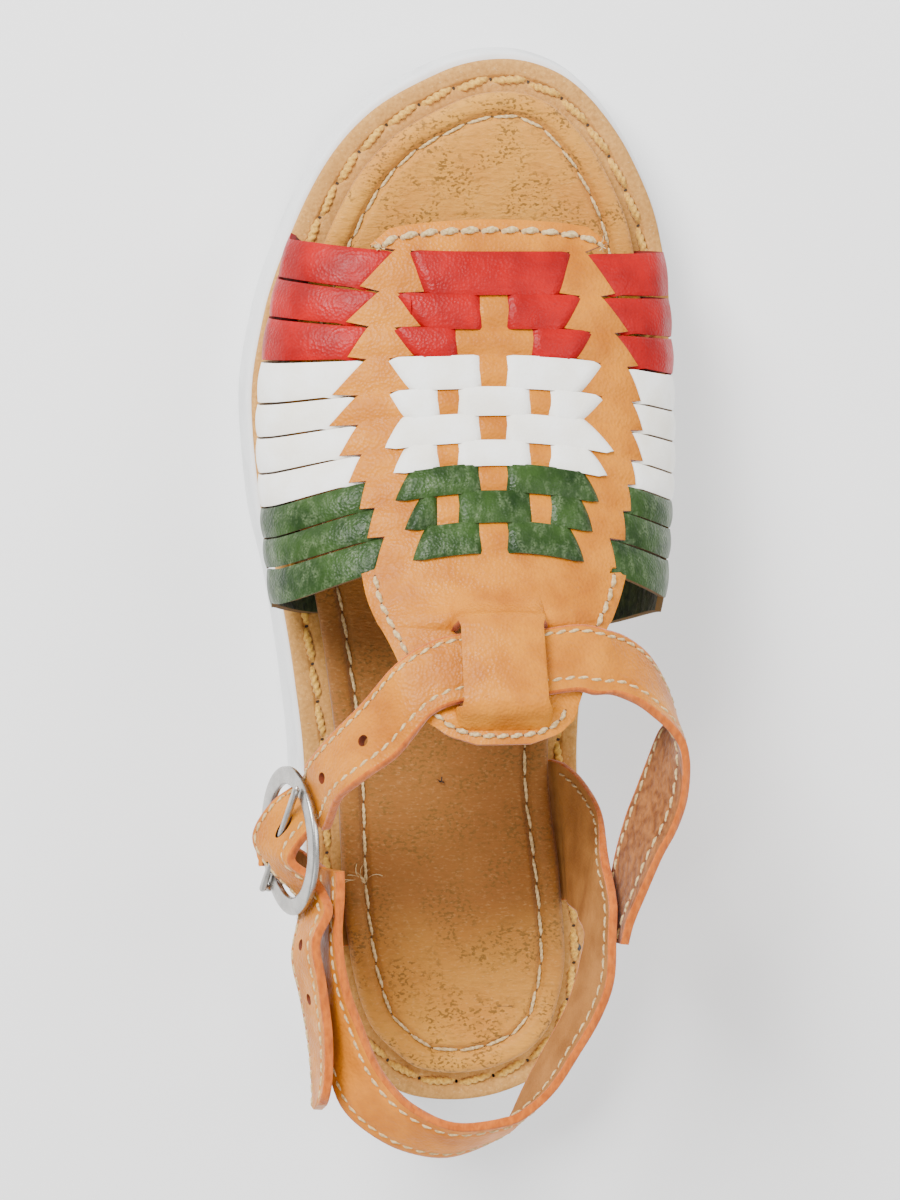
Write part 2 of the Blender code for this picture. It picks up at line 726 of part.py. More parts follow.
def strap_levels(index):
    """Places across of a strap's ups and downs, for its front and rear edge, with their heights."""
    slits = [slit * BALL_WIDTH for slit in SLITS[index]]
    middle = (strap_line(index, 0.0) + strap_line(index + 1, 0.0)) / 2
    edges = upright_edges(middle)
    ramp = WEAVE_RAMP
    over = WEAVE_RISE
    under = -WEAVE_DIP
    levels = [
        (slits[0] - ramp, slits[1] - ramp, 0.0),
        (slits[0] + ramp, slits[1] + ramp, under),
        (slits[2] - ramp / 2, slits[3] - ramp / 2, under),
        (slits[2] + ramp, slits[3] + ramp, over),
    ]
    for upright in DIPS[index]:
        left, right = edges[2 * upright], edges[2 * upright + 1]
        levels.append((left - ramp, left - ramp, over))
        levels.append((left + ramp / 2, left + ramp / 2, under))
        levels.append((right - ramp / 2, right - ramp / 2, under))
        levels.append((right + ramp, right + ramp, over))
    levels += [
        (slits[4] - ramp, slits[5] - ramp, over),
        (slits[4] + ramp / 2, slits[5] + ramp / 2, under),
        (slits[6] - ramp, slits[7] - ramp, under),
        (slits[6] + ramp, slits[7] + ramp, 0.0),
    ]
    tidy = [levels[0]]
    for level in levels[1:]:
        ahead = min(level[0] - tidy[-1][0], level[1] - tidy[-1][1])
        if ahead > ramp / 3:
            tidy.append(level)
    return tidy


def woven_strap(index, collection, material):
    """One strap, from its tuck on the outer side, through the plate, to its tuck on the inner."""

    def edge_y(line, x, side):
        gap = CENTRE_GAP + (SIDE_GAP - CENTRE_GAP) * min(abs(x) / (0.4 * BALL_WIDTH), 1.0)
        return strap_line(line, x) + side * gap / 2

    def side_column(side, turned):
        pair = []
        for line, toward in ((index, -1), (index + 1, 1)):
            x = side * 0.5 * BALL_WIDTH
            if turned < 1.0:
                middle = edge_y(line, x, toward)
                x = form_point(side, turned, middle).x
            y = edge_y(line, x, toward)
            pair.append(form_point(side, turned, y))
        return pair

    def top_column(front_x, rear_x, height):
        front = lifted(front_x, edge_y(index, front_x, -1), height)
        rear = lifted(rear_x, edge_y(index + 1, rear_x, 1), height)
        return [front, rear]

    levels = strap_levels(index)
    turns = (3.0, 2.0, 1.8, 1.55, 1.3, 1.0, 0.86)
    columns = [side_column(-1, turned) for turned in turns]
    columns += [top_column(*level) for level in levels]
    columns += [side_column(1, turned) for turned in reversed(turns)]
    columns = columns[::-1]
    return sheet(f"strap_{index}", columns, lambda r, c: True, STRAP_THICKNESS, collection, material)


def woven_upper(parts, material):
    base = plate(parts, material)
    straps = new_collection("woven_straps")
    for index in range(len(SLITS)):
        as_guide(woven_strap(index, straps, material))
    join = base.modifiers.new("join", "BOOLEAN")
    join.operation = "UNION"
    join.operand_type = "COLLECTION"
    join.collection = straps
    join.solver = "EXACT"
    return base


def spline(rows, share):
    """A smooth curve through rows of numbers, with the share counted in rows."""
    last = len(rows) - 1
    i = min(int(share), last - 1)
    t = share - i
    before = rows[max(i - 1, 0)]
    start = rows[i]
    end = rows[i + 1]
    after = rows[min(i + 2, last)]
    values = []
    for a, b, c, d in zip(before, start, end, after):
        values.append(b + 0.5 * t * (c - a + t * (2 * a - 5 * b + 4 * c - d + t * (3 * (b - c) + d - a))))
    return values


def band_row(row):
    """Two edge points from shares of the sole and the instep."""
    points = []
    for across, along, up in (row[:3], row[3:6]):
        y = to_y(along)
        points.append(Vector((across * BALL_WIDTH, y, deck(y) + up * INSTEP_HEIGHT)))
    return points


def sized_row(ends, width, thickness):
    """The row's two edges set apart by a width about their middle, with the thickness."""
    middle = (ends[0] + ends[1]) / 2
    half = (ends[0] - ends[1]).normalized() * width / 2
    return [*(middle + half), *(middle - half), thickness]


def band(name, rows, steps, collection, material):
    """A leather strip through rows of edge points, its long edges chamfered."""
    count = (len(rows) - 1) * steps
    stations = [spline(rows, k / steps) for k in range(count + 1)]
    middles = [(Vector(s[0:3]) + Vector(s[3:6])) / 2 for s in stations]
    points = []
    for k, station in enumerate(stations):
        run = middles[min(k + 1, count)] - middles[max(k - 1, 0)]
        wide = Vector(station[0:3]) - Vector(station[3:6])
        out = run.cross(wide).normalized()
        half = station[6] / 2
        across = wide / 2
        inner = across - across.normalized() * BAND_CHAMFER
        thin = half - BAND_CHAMFER
        section = [
            (inner, half), (across, thin), (across, -thin), (inner, -half),
            (-inner, -half), (-across, -thin), (-across, thin), (-inner, half),
        ]
        points += [middles[k] + w + out * t for w, t in section]
    faces = []
    sides = 8
    for k in range(count):
        for i in range(sides):
            j = (i + 1) % sides
            low = k * sides
            faces.append((low + i, low + j, low + sides + j, low + sides + i))
    faces.append(tuple(range(sides)))
    faces.append(tuple(range(count * sides, count * sides + sides)))
    return new_object(name, new_mesh(name, points, faces), material, collection)


def ring_frame():
    """The buckle's own axes: toe, up in its plane, out of it, and its middle."""
    tilt = math.radians(RING_TILT)
    toe = Vector((0.0, 1.0, 0.0))
    up = Vector((math.sin(tilt), 0.0, math.cos(tilt)))
    out = Vector((-math.cos(tilt), 0.0, math.sin(tilt)))
    y = to_y(RING_PLACE[1])
    middle = Vector((RING_PLACE[0] * BALL_WIDTH, y, deck(y) + RING_PLACE[2] * INSTEP_HEIGHT))
    return toe, up, out, middle


def on_ring(toe_share, up_share, out_share):
    toe, up, out, middle = ring_frame()
    return middle + (toe * toe_share + up * up_share + out * out_share) * RING_ALONG


def strap_rows():
    """The ankle strap's edge points from its inner end, over the tab and through the ring."""
    above_form = PLATE_THICKNESS + SLOT_CLEARANCE + BAND_THICKNESS / 2
    pairs = [band_row(row) for row in STRAP_INNER]
    for front_x, front, rear_x, rear in STRAP_ON_TAB:
        ahead = lifted(front_x * BALL_WIDTH, to_y(front), above_form)
        behind = lifted(rear_x * BALL_WIDTH, to_y(rear), above_form)
        pairs.append((ahead, behind))
    pairs += [band_row(row) for row in STRAP_OUTER]
    pairs += [(on_ring(*row[:3]), on_ring(*row[3:])) for row in STRAP_AT_RING]
    pairs += [band_row(row) for row in STRAP_TAIL]
    return [sized_row(pair, BAND_WIDTH, BAND_THICKNESS) for pair in pairs]


def strap_hole(rows, share, guides, material):
    """A cutter for one punched hole, square to the strap at a share counted in rows."""
    here = spline(rows, share)
    ahead = spline(rows, share + 0.1)
    middle = (Vector(here[0:3]) + Vector(here[3:6])) / 2
    wide = Vector(here[0:3]) - Vector(here[3:6])
    run = (Vector(ahead[0:3]) + Vector(ahead[3:6])) / 2 - middle
    out = run.cross(wide).normalized()
    bpy.ops.mesh.primitive_cylinder_add(
        vertices=8, radius=HOLE_DIAMETER / 2, depth=3 * BAND_THICKNESS, location=middle,
        rotation=out.to_track_quat("Z", "Y").to_euler())
    cutter = bpy.context.object
    cutter.name = f"hole_{share:.2f}"
    move_to(cutter, guides)
    as_guide(cutter)
    return cutter


def cut(thing, cutter, kind="DIFFERENCE"):
    change = thing.modifiers.new(cutter.name, "BOOLEAN")
    change.operation = kind
    change.object = cutter
    change.solver = "EXACT"


def move_to(thing, collection):
    for owner in list(thing.users_collection):
        owner.objects.unlink(thing)
    collection.objects.link(thing)


def ankle_strap(collection, guides, material):
    rows = strap_rows()
    strap = band("ankle_strap", rows, 2, collection, material)
    for share in HOLE_PLACES:
        cut(strap, strap_hole(rows, share, guides, material))
    way = wire("prong_way", prong_points()[-2:], PRONG_DIAMETER / 2 + TUCK_GAP, material, guides)
    as_guide(way)
    cut(strap, way)
    return strap


def tuck_rows(side, places):
    """Rows of a quarter's lower end, from the end of its tuck to the footbed's edge."""
    thickness = STRAP_THICKNESS - 2 * (TUCK_GAP - GAP)
    rows = []
    for share, rise in TUCK_ROWS:
        ends = []
        for along in places:
            y = to_y(along)
            x = footbed_edge(side, y) + side * share * TUCK_DEPTH
            height = deck(y) + TUCK_GAP + thickness / 2 + rise * BAND_WIDTH
            ends.append(Vector((x, y, height)))
        rows.append([*ends[0], *ends[1], thickness])
    return rows


def ring_tab(guides, material):
    """The tab that folds round the ring's lower rim and holds it."""
    wide = Vector((-PRONG_ROOT[1] - PRONG_ROOT[0], PRONG_ROOT[0] / 2, 0.0)).normalized()
    rows = []
    for row in TAB_ROWS_AT_RING:
        half = wide * TAB_WIDTH / 2 / RING_ALONG
        middle = Vector(row)
        ends = (on_ring(*(middle + half)), on_ring(*(middle - half)))
        rows.append(sized_row(ends, TAB_WIDTH, TAB_THICKNESS))
    tab = band("ring_tab", rows, 2, guides, material)
    as_guide(tab)
    return tab


def heel_quarter(collection, guides, material):
    thin = BAND_THICKNESS * QUARTER_THINNING
    inner = tuck_rows(1, INNER_QUARTER)
    for row in INNER_QUARTER_ROWS:
        inner.append(sized_row(band_row(row), BAND_WIDTH * row[6], thin))
    for row in HEEL_ROWS:
        inner.append(sized_row(band_row(row), BAND_WIDTH * row[6], BAND_THICKNESS))
    whole = band("heel_quarter", inner, 2, collection, material)

    outer = tuck_rows(-1, OUTER_QUARTER)
    for row in OUTER_QUARTER_ROWS:
        outer.append(sized_row(band_row(row), BAND_WIDTH * row[6], thin))
    leg = band("outer_quarter", outer, 2, guides, material)
    as_guide(leg)

    cut(whole, leg, "UNION")
    cut(whole, ring_tab(guides, material), "UNION")
    return whole


def buckle_frame(collection, material):
    toe, up, out, middle = ring_frame()
    bpy.ops.mesh.primitive_torus_add(
        major_segments=32, minor_segments=8, major_radius=1.0, minor_radius=0.1)
    ring = bpy.context.object
    ring.name = "buckle_frame"
    ring.data.materials.append(material)
    for vertex in ring.data.vertices:
        flat = Vector((vertex.co.x, vertex.co.y, 0.0))
        around = flat.normalized()
        rim = (flat.length - 1.0) / 0.1 * RING_RIM / 2
        reach = Vector((around.x * (RING_ALONG - RING_RIM) / 2, around.y * (RING_ACROSS - RING_RIM) / 2))
        reach += Vector((around.x, around.y)) * rim
        depth = vertex.co.z / 0.1 * RING_THICKNESS / 2
        vertex.co = middle + toe * reach.x + up * reach.y + out * depth
    move_to(ring, collection)
    shape = bmesh.new()
    shape.from_mesh(ring.data)
    bmesh.ops.recalc_face_normals(shape, faces=shape.faces)
    shape.to_mesh(ring.data)
    shape.free()
    return ring


def wire(name, points, radius, material, collection):
    """A closed round wire through points."""
    curve = bpy.data.curves.new(name, "CURVE")
    curve.dimensions = "3D"
    curve.bevel_depth = radius
    curve.bevel_resolution = 2
    curve.use_fill_caps = True
    line = curve.splines.new("POLY")
    line.points.add(len(points) - 1)
    for target, point in zip(line.points, points):
        target.co = (*point, 1.0)
    guide = bpy.data.objects.new(name + "_line", curve)
    bpy.context.scene.collection.objects.link(guide)
    graph = bpy.context.evaluated_depsgraph_get()
    mesh = bpy.data.meshes.new_from_object(guide.evaluated_get(graph))
    bpy.data.objects.remove(guide)
    shape = bmesh.new()
    shape.from_mesh(mesh)
    bmesh.ops.remove_doubles(shape, verts=shape.verts, dist=0.00001)
    bmesh.ops.recalc_face_normals(shape, faces=shape.faces)
    shape.to_mesh(mesh)
    shape.free()
    return new_object(name, mesh, material, collection)


def prong_points():
    """The prong's line: hooked round the ring's rear rim, then straight to its tip."""
    root = Vector((*PRONG_ROOT, 0.0)) * RING_ALONG
    tip = Vector((*PRONG_TIP, 0.0)) * RING_ALONG
    outward = root.normalized()
    reach = RING_RIM / 2 + GAP + PRONG_DIAMETER / 2
    rise = RING_THICKNESS / 2 + GAP + PRONG_DIAMETER / 2
    out = Vector((0.0, 0.0, 1.0))
    points = []
    for degrees in range(-105, 91, 39):
        angle = math.radians(degrees)
        points.append(root + outward * reach * math.cos(angle) + out * rise * math.sin(angle))
    points.append(tip + out * rise)
    return [on_ring(*(point / RING_ALONG)) for point in points]


def buckle_prong(collection, material):
    return wire("buckle_prong", prong_points(), PRONG_DIAMETER / 2, material, collection)


def main():
    for thing in list(bpy.data.objects):
        bpy.data.objects.remove(thing, do_unlink=True)
    parts = new_collection("huarache_sandal")
    guides = new_collection("cutters")
    materials = {name: new_material(name) for name in COLOURS}
    outsole(parts, materials["rubber"])
    midsole(parts, materials["welt"])
    footbed(parts, materials["lining"])
    woven_upper(parts, materials["leather"])
    ankle_strap(parts, guides, materials["leather"])
    heel_quarter(parts, guides, materials["leather"])
    buckle_frame(parts, materials["nickel"])
    buckle_prong(parts, materials["nickel"])


main()
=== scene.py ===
import math
import random
from bisect import bisect

import bmesh
import bpy
from mathutils import Matrix, Vector
from mathutils.bvhtree import BVHTree


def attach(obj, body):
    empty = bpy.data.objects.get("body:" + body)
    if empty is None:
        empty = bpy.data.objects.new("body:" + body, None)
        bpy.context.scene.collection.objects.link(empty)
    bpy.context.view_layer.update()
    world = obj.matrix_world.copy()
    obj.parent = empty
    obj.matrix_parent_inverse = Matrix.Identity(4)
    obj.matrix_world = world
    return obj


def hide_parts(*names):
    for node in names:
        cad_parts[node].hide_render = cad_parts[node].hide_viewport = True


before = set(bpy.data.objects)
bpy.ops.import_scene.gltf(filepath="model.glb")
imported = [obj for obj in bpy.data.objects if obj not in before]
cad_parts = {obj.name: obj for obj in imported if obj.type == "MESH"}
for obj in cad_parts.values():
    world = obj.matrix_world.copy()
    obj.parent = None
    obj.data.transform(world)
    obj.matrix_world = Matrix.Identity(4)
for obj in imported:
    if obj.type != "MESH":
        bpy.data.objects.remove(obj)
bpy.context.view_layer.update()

# Outsole: one wedge of pale foam rubber, cast in a mould with a groove round its side, then buffed
# along its edge and glued under the midsole. The helpers for outlines, meshes and finishes that the
# later pieces share are here too.
SOLE_LENGTH = 0.2505
BALL_WIDTH = 0.1010
HEEL_HEIGHT = 0.0320
BALL_HEIGHT = 0.0203
TOE_LIFT = 0.0037
TOE_SPRING = 0.0085
HEEL_BEVEL = 0.0018
MIDSOLE_THICKNESS = 0.0040
OUTSOLE_LIP = 0.0009
OUTSOLE_FLARE = 0.0018
TOE_BUMPER = 0.0010
SIDE_GROOVE = 0.0008
GROOVE_DROP = 0.0042
GROOVE_WIDTH = 0.0014
EDGE_ROUND = 0.0010
GAP = 0.0003
BUMPER_FROM = 0.80
BUMPER_RUN = 0.20
OUTLINE_STATIONS = 130
SAME_SPOT = 0.000001
DULL = 0.18
SHINY = 0.5
EVEN = (1.0, 1.0, 1.0)
RUBBER_WHITE = (0.83, 0.84, 0.84)
RUBBER_DUSTY = (0.70, 0.71, 0.71)

SOLE_CUTS = (
    # along, outer, inner
    (0.0000, 0.014, -0.014),
    (0.0064, 0.129, 0.097),
    (0.0280, 0.212, 0.205),
    (0.0720, 0.300, 0.285),
    (0.1440, 0.348, 0.318),
    (0.2240, 0.368, 0.305),
    (0.3270, 0.374, 0.279),
    (0.4150, 0.396, 0.295),
    (0.5030, 0.430, 0.367),
    (0.5830, 0.472, 0.446),
    (0.6750, 0.488, 0.503),
    (0.7550, 0.459, 0.514),
    (0.8380, 0.389, 0.485),
    (0.9060, 0.302, 0.418),
    (0.9500, 0.204, 0.345),
    (0.9830, 0.064, 0.256),
    (0.9956, -0.018, 0.184),
    (1.0000, -0.109, 0.109),
)
SOLE_PROFILE = (
    # along, wedge, lift, spring, bevel
    (0.00, 1.00, 0.00, 0.00, 1.00),
    (0.04, 1.00, 0.00, 0.00, 0.00),
    (0.12, 0.98, 0.00, 0.00, 0.00),
    (0.24, 0.93, 0.00, 0.00, 0.00),
    (0.39, 0.70, 0.00, 0.00, 0.00),
    (0.52, 0.36, 0.00, 0.00, 0.00),
    (0.60, 0.15, 0.00, 0.00, 0.00),
    (0.68, 0.02, 0.00, 0.00, 0.00),
    (0.78, 0.00, 0.02, 0.00, 0.00),
    (0.84, 0.00, 0.10, 0.10, 0.00),
    (0.93, 0.00, 0.42, 0.42, 0.00),
    (1.00, 0.00, 1.00, 1.00, 0.00),
)


def curve_through(places, values):
    """A smooth curve through the values that makes no new peaks between them."""
    last = len(places) - 1
    slopes = [(values[k + 1] - values[k]) / (places[k + 1] - places[k]) for k in range(last)]
    tangents = []
    for k in range(last + 1):
        before = slopes[max(k - 1, 0)]
        after = slopes[min(k, last - 1)]
        meet = before * after
        tangents.append(2.0 * meet / (before + after) if meet > 0.0 else 0.0)

    def at(place):
        place = min(max(place, places[0]), places[last])
        i = max(k for k in range(last) if places[k] <= place)
        step = places[i + 1] - places[i]
        t = (place - places[i]) / step
        rise = values[i + 1] - values[i]
        start = tangents[i] * step
        end = tangents[i + 1] * step
        bend = t * t * (3 * rise - 2 * start - end) + t ** 3 * (start + end - 2 * rise)
        return values[i] + t * start + bend

    return at


def column(table, index):
    return curve_through([row[0] for row in table], [row[index] for row in table])


def to_y(along):
    return (along - 0.5) * SOLE_LENGTH


def to_along(y):
    return y / SOLE_LENGTH + 0.5


wedge, lift, spring, bevel = (column(SOLE_PROFILE, index) for index in (1, 2, 3, 4))


def deck(y):
    """Height of the midsole's top."""
    along = to_along(y)
    return BALL_HEIGHT + wedge(along) * (HEEL_HEIGHT - BALL_HEIGHT) + lift(along) * TOE_LIFT


def tread(y):
    along = to_along(y)
    return spring(along) * TOE_SPRING + bevel(along) * HEEL_BEVEL


def sole_outline(stations):
    """The welt's edge, up the outer side from the heel and back down the inner side."""
    turns = [math.acos(1.0 - 2.0 * row[0]) for row in SOLE_CUTS]
    outer = curve_through(turns, [row[1] for row in SOLE_CUTS])
    inner = curve_through(turns, [row[2] for row in SOLE_CUTS])
    ring = []
    for i in range(2 * stations):
        angle = math.pi * i / stations
        across = -outer(angle) if i <= stations else inner(2 * math.pi - angle)
        ring.append(Vector((across * BALL_WIDTH, to_y((1.0 - math.cos(angle)) / 2.0), 0.0)))
    return ring


def moved_out(ring, distance):
    """The ring moved out by a distance, or by a function of each of its points."""
    moved = []
    for i, point in enumerate(ring):
        run = ring[(i + 1) % len(ring)] - ring[i - 1]
        out = Vector((-run.y, run.x, 0.0)).normalized()
        moved.append(point + out * (distance(point) if callable(distance) else distance))
    return moved


def at_height(ring, height):
    return [Vector((point.x, point.y, height(point))) for point in ring]


def laid(name, columns, rows, place):
    """A grid whose corners are laid by place(u, v), u and v running from 0 to 1."""
    bpy.ops.object.select_all(action="DESELECT")
    bpy.ops.mesh.primitive_grid_add(x_subdivisions=columns, y_subdivisions=rows, size=1.0)
    piece = bpy.context.object
    piece.name = name
    for vertex in piece.data.vertices:
        vertex.co = place(vertex.co.x + 0.5, vertex.co.y + 0.5)
    bpy.ops.object.shade_smooth()
    return piece


def stacked(name, rings, cuts=1):
    """A closed body through rings of points, its two ends bridged from side to side."""
    count = len(rings[0])
    piece = laid(name, count, len(rings) - 1,
                 lambda u, v: rings[round(v * (len(rings) - 1))][round(u * count) % count])
    bpy.ops.object.mode_set(mode="EDIT")
    bpy.ops.mesh.select_all(action="SELECT")
    bpy.ops.mesh.remove_doubles(threshold=SAME_SPOT)
    for ring in (rings[0], rings[-1]):
        shape = bmesh.from_edit_mesh(piece.data)
        heel, toe = ring[0], ring[count // 2]
        for edge in shape.edges:
            tips = [vertex.co for vertex in edge.verts]
            at_end = any((tip - end).length < SAME_SPOT for tip in tips for end in (heel, toe))
            flat = all(min((tip - point).length for point in ring) < SAME_SPOT for tip in tips)
            edge.select = edge.is_boundary and flat and not at_end
        shape.select_flush_mode()
        bmesh.update_edit_mesh(piece.data)
        bpy.ops.mesh.bridge_edge_loops(number_cuts=cuts, interpolation="LINEAR")
        bpy.ops.mesh.select_all(action="DESELECT")
        bpy.ops.mesh.select_non_manifold()
    bpy.ops.mesh.select_all(action="SELECT")
    bpy.ops.mesh.fill_holes(sides=cuts + 4)
    bpy.ops.mesh.select_all(action="SELECT")
    bpy.ops.mesh.normals_make_consistent(inside=False)
    bpy.ops.object.mode_set(mode="OBJECT")
    return piece


def wired(tree, kind, inputs, **settings):
    """Add a shader node, with its settings, and set or wire its inputs."""
    made = tree.nodes.new("ShaderNode" + kind)
    for name, value in settings.items():
        setattr(made, name, value)
    for name, value in inputs.items():
        if isinstance(value, bpy.types.NodeSocket):
            tree.links.new(value, made.inputs[name])
        else:
            made.inputs[name].default_value = value
    return made


def finish(name, roughness, metallic=0.0):
    material = bpy.data.materials.new(name)
    material.use_nodes = True
    shader = material.node_tree.nodes["Principled BSDF"]
    shader.inputs["Roughness"].default_value = roughness
    shader.inputs["Metallic"].default_value = metallic
    shader.inputs["Specular IOR Level"].default_value = SHINY if metallic else DULL
    return material, material.node_tree, shader


def own_place(tree, stretch=EVEN):
    """Places on the piece in its own axes, stretched."""
    place = wired(tree, "TexCoord", {}).outputs["Object"]
    return wired(tree, "Mapping", {"Vector": place, "Scale": stretch}).outputs["Vector"]


def clouds(tree, size, detail=3.0, stretch=EVEN):
    """Soft clouds about as large as size, in metres."""
    inputs = {"Vector": own_place(tree, stretch), "Scale": 1.0 / size, "Detail": detail}
    return wired(tree, "TexNoise", inputs).outputs["Fac"]


def pores(tree, size):
    """Grain cells about as large as size, in metres: dark in their middles."""
    inputs = {"Vector": own_place(tree), "Scale": 1.0 / size}
    return wired(tree, "TexVoronoi", inputs).outputs["Distance"]


def spread(tree, value, low, high, first=0.0, last=1.0):
    """The value from low to high, spread over first to last."""
    inputs = {"Value": value, "From Min": low, "From Max": high, "To Min": first, "To Max": last}
    return wired(tree, "MapRange", inputs).outputs["Result"]


def toned(tree, share, first, second):
    """A colour between two, by share."""
    made = wired(tree, "Mix", {0: share}, data_type="RGBA")
    for index, colour in ((6, first), (7, second)):
        if isinstance(colour, bpy.types.NodeSocket):
            tree.links.new(colour, made.inputs[index])
        else:
            made.inputs[index].default_value = (*colour, 1.0)
    return made.outputs[2]


def combined(tree, operation, first, second):
    return wired(tree, "Math", {0: first, 1: second}, operation=operation).outputs[0]


def embossed(tree, shader, layers):
    """Bump from layers of (height, depth in metres), the first one lowest."""
    normal = None
    for height, depth in layers:
        inputs = {"Height": height, "Distance": depth, "Strength": 1.0}
        if normal:
            inputs["Normal"] = normal
        normal = wired(tree, "Bump", inputs).outputs["Normal"]
    tree.links.new(normal, shader.inputs["Normal"])


def foam_rubber():
    material, tree, shader = finish("foam_rubber", 0.62)
    dust = spread(tree, clouds(tree, 0.012, 5.0), 0.50, 0.80)
    tree.links.new(toned(tree, dust, RUBBER_WHITE, RUBBER_DUSTY), shader.inputs["Base Color"])
    embossed(tree, shader, [(clouds(tree, 0.0011, 2.0), 0.00006)])
    return material


def outsole():
    edge = sole_outline(OUTLINE_STATIONS)

    def ring(out, height):
        def reach(point):
            share = min(max((to_along(point.y) - BUMPER_FROM) / BUMPER_RUN, 0.0), 1.0)
            return out + TOE_BUMPER * share * share
        return at_height(moved_out(edge, reach), height)

    def below_top(drop):
        return lambda point: deck(point.y) - MIDSOLE_THICKNESS - GAP - drop

    def above_floor(rise):
        return lambda point: tread(point.y) + rise

    groove_out = OUTSOLE_LIP - SIDE_GROOVE
    rings = []
    for share in (0.0, 0.3, 0.7, 1.0):
        out = OUTSOLE_FLARE - EDGE_ROUND * (1 - share) ** 2
        rings.append(ring(out, above_floor(EDGE_ROUND * share ** 2)))
    rings.append(ring(OUTSOLE_FLARE, above_floor(2 * EDGE_ROUND)))
    lip_low = GROOVE_DROP + GROOVE_WIDTH
    rings.append(ring(OUTSOLE_LIP, below_top(lip_low + EDGE_ROUND)))
    for out, drop in (
            (OUTSOLE_LIP, lip_low + 0.2 * GROOVE_WIDTH), (OUTSOLE_LIP - 0.2 * SIDE_GROOVE, lip_low),
            (groove_out, lip_low - 0.3 * GROOVE_WIDTH), (groove_out, lip_low - 0.7 * GROOVE_WIDTH),
            (OUTSOLE_LIP - 0.2 * SIDE_GROOVE, GROOVE_DROP), (OUTSOLE_LIP, GROOVE_DROP - 0.2 * GROOVE_WIDTH),
            (OUTSOLE_LIP, EDGE_ROUND), (OUTSOLE_LIP - 0.3 * EDGE_ROUND, 0.3 * EDGE_ROUND),
            (OUTSOLE_LIP - EDGE_ROUND, 0.0), (-2 * EDGE_ROUND, 0.0)):
        rings.append(ring(out, below_top(drop)))
    piece = stacked("outsole_cast", rings)
    piece.data.materials.append(foam_rubber())
    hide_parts("outsole")
    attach(piece, "root")


outsole()

# Midsole: a board of pale fibre that shows as the welt's margin. Its edge is sanded, a channel is
# cut for the seam, and the seam is sewn through it by hand with thick waxed yellow thread.
WELT_MARGIN = 0.0077
CHANNEL_INSET = 0.0047
CHANNEL_WIDTH = 0.0026
CHANNEL_DEPTH = 0.0009
WELT_THREAD = 0.0021
WELT_PITCH = 0.0090
CHANNEL_STEPS = 12
FLAT_REACH = 0.012
STITCH_WANDER = 0.05
STITCH_TAPER = 0.90
STITCH_DIVE = 0.35
PLY_ROUND = 0.85
PLY_BULGE = 0.17
# Each stitch end gets a flat dark disc just above the surface: painted shade of its needle hole.
HOLE_SHARES = (0.15, 0.26)
HOLE_SIDES = 6
HOLE_OUT = 0.05
HOLE_LIFT = 0.00004
FIBRE_STEPS = 6
FIBRE_SIDES = 3
FIBRE_RADIUS = 0.00018
FIBRE_SPREAD = 0.0003
FIBRE_TURN = 0.8
FIBRE_CURL = 0.45
FIBRE_RISE = 0.38
FIBRE_FALL = 0.06
NAIL_PLACES = ((0.0279, -0.0883), (-0.0305, -0.0902))
NAIL_DIAMETER = 0.0022
BOARD_PALE = (0.60, 0.31, 0.085)
BOARD_DARK = (0.42, 0.20, 0.050)
THREAD_YELLOW = (0.72, 0.42, 0.075)
THREAD_AMBER = (0.46, 0.22, 0.030)
# Colour of the flat discs at stitch ends: painted shade of the awl and quilting holes.
HOLE_SHADE_BROWN = (0.05, 0.03, 0.015)
BOARD_FLECK = (0.72, 0.52, 0.28)
NAIL_STEEL = (0.06, 0.06, 0.065)
BOARD_EDGE = (
    # inset, drop below the top
    (0.0001, 0.0010), (0.0004, 0.0004), (0.0011, 0.00008), (0.0020, 0.0),
)


def fibre_board():
    material, tree, shader = finish("fibre_board", 0.86)
    fibres = clouds(tree, 0.0009, 6.0)
    stain = spread(tree, clouds(tree, 0.018, 4.0), 0.42, 0.68)
    specks = spread(tree, clouds(tree, 0.0006, 2.0), 0.62, 0.75)
    base = toned(tree, spread(tree, fibres, 0.35, 0.70), BOARD_PALE, BOARD_DARK)
    aged = toned(tree, combined(tree, "MULTIPLY", stain, 0.45), base, BOARD_DARK)
    spotted = toned(tree, combined(tree, "MULTIPLY", specks, 0.35), aged, BOARD_FLECK)
    tree.links.new(spotted, shader.inputs["Base Color"])
    embossed(tree, shader, [(fibres, 0.00022)])
    return material


def waxed_thread(name, pale, dark):
    material, tree, shader = finish(name, 0.72)
    plies = clouds(tree, 0.0007, 3.0)
    tree.links.new(toned(tree, spread(tree, plies, 0.38, 0.70), pale, dark), shader.inputs["Base Color"])
    shader.inputs["Sheen Weight"].default_value = 0.25
    embossed(tree, shader, [(clouds(tree, 0.00025, 2.0), 0.00006)])
    return material


def plain(name, colour, roughness):
    """A small plain finish with a little unevenness, for holes, nails and the like."""
    material, tree, shader = finish(name, roughness)
    worn = spread(tree, clouds(tree, 0.002, 3.0), 0.35, 0.75)
    paler = tuple(0.6 * part + 0.03 for part in colour)
    tree.links.new(toned(tree, worn, colour, paler), shader.inputs["Base Color"])
    return material


def dip(distance, middle, width):
    """1 in the middle of a channel and 0 outside it."""
    reach = abs(distance - middle) / (width / 2)
    return 0.5 + 0.5 * math.cos(math.pi * reach) if reach < 1.0 else 0.0


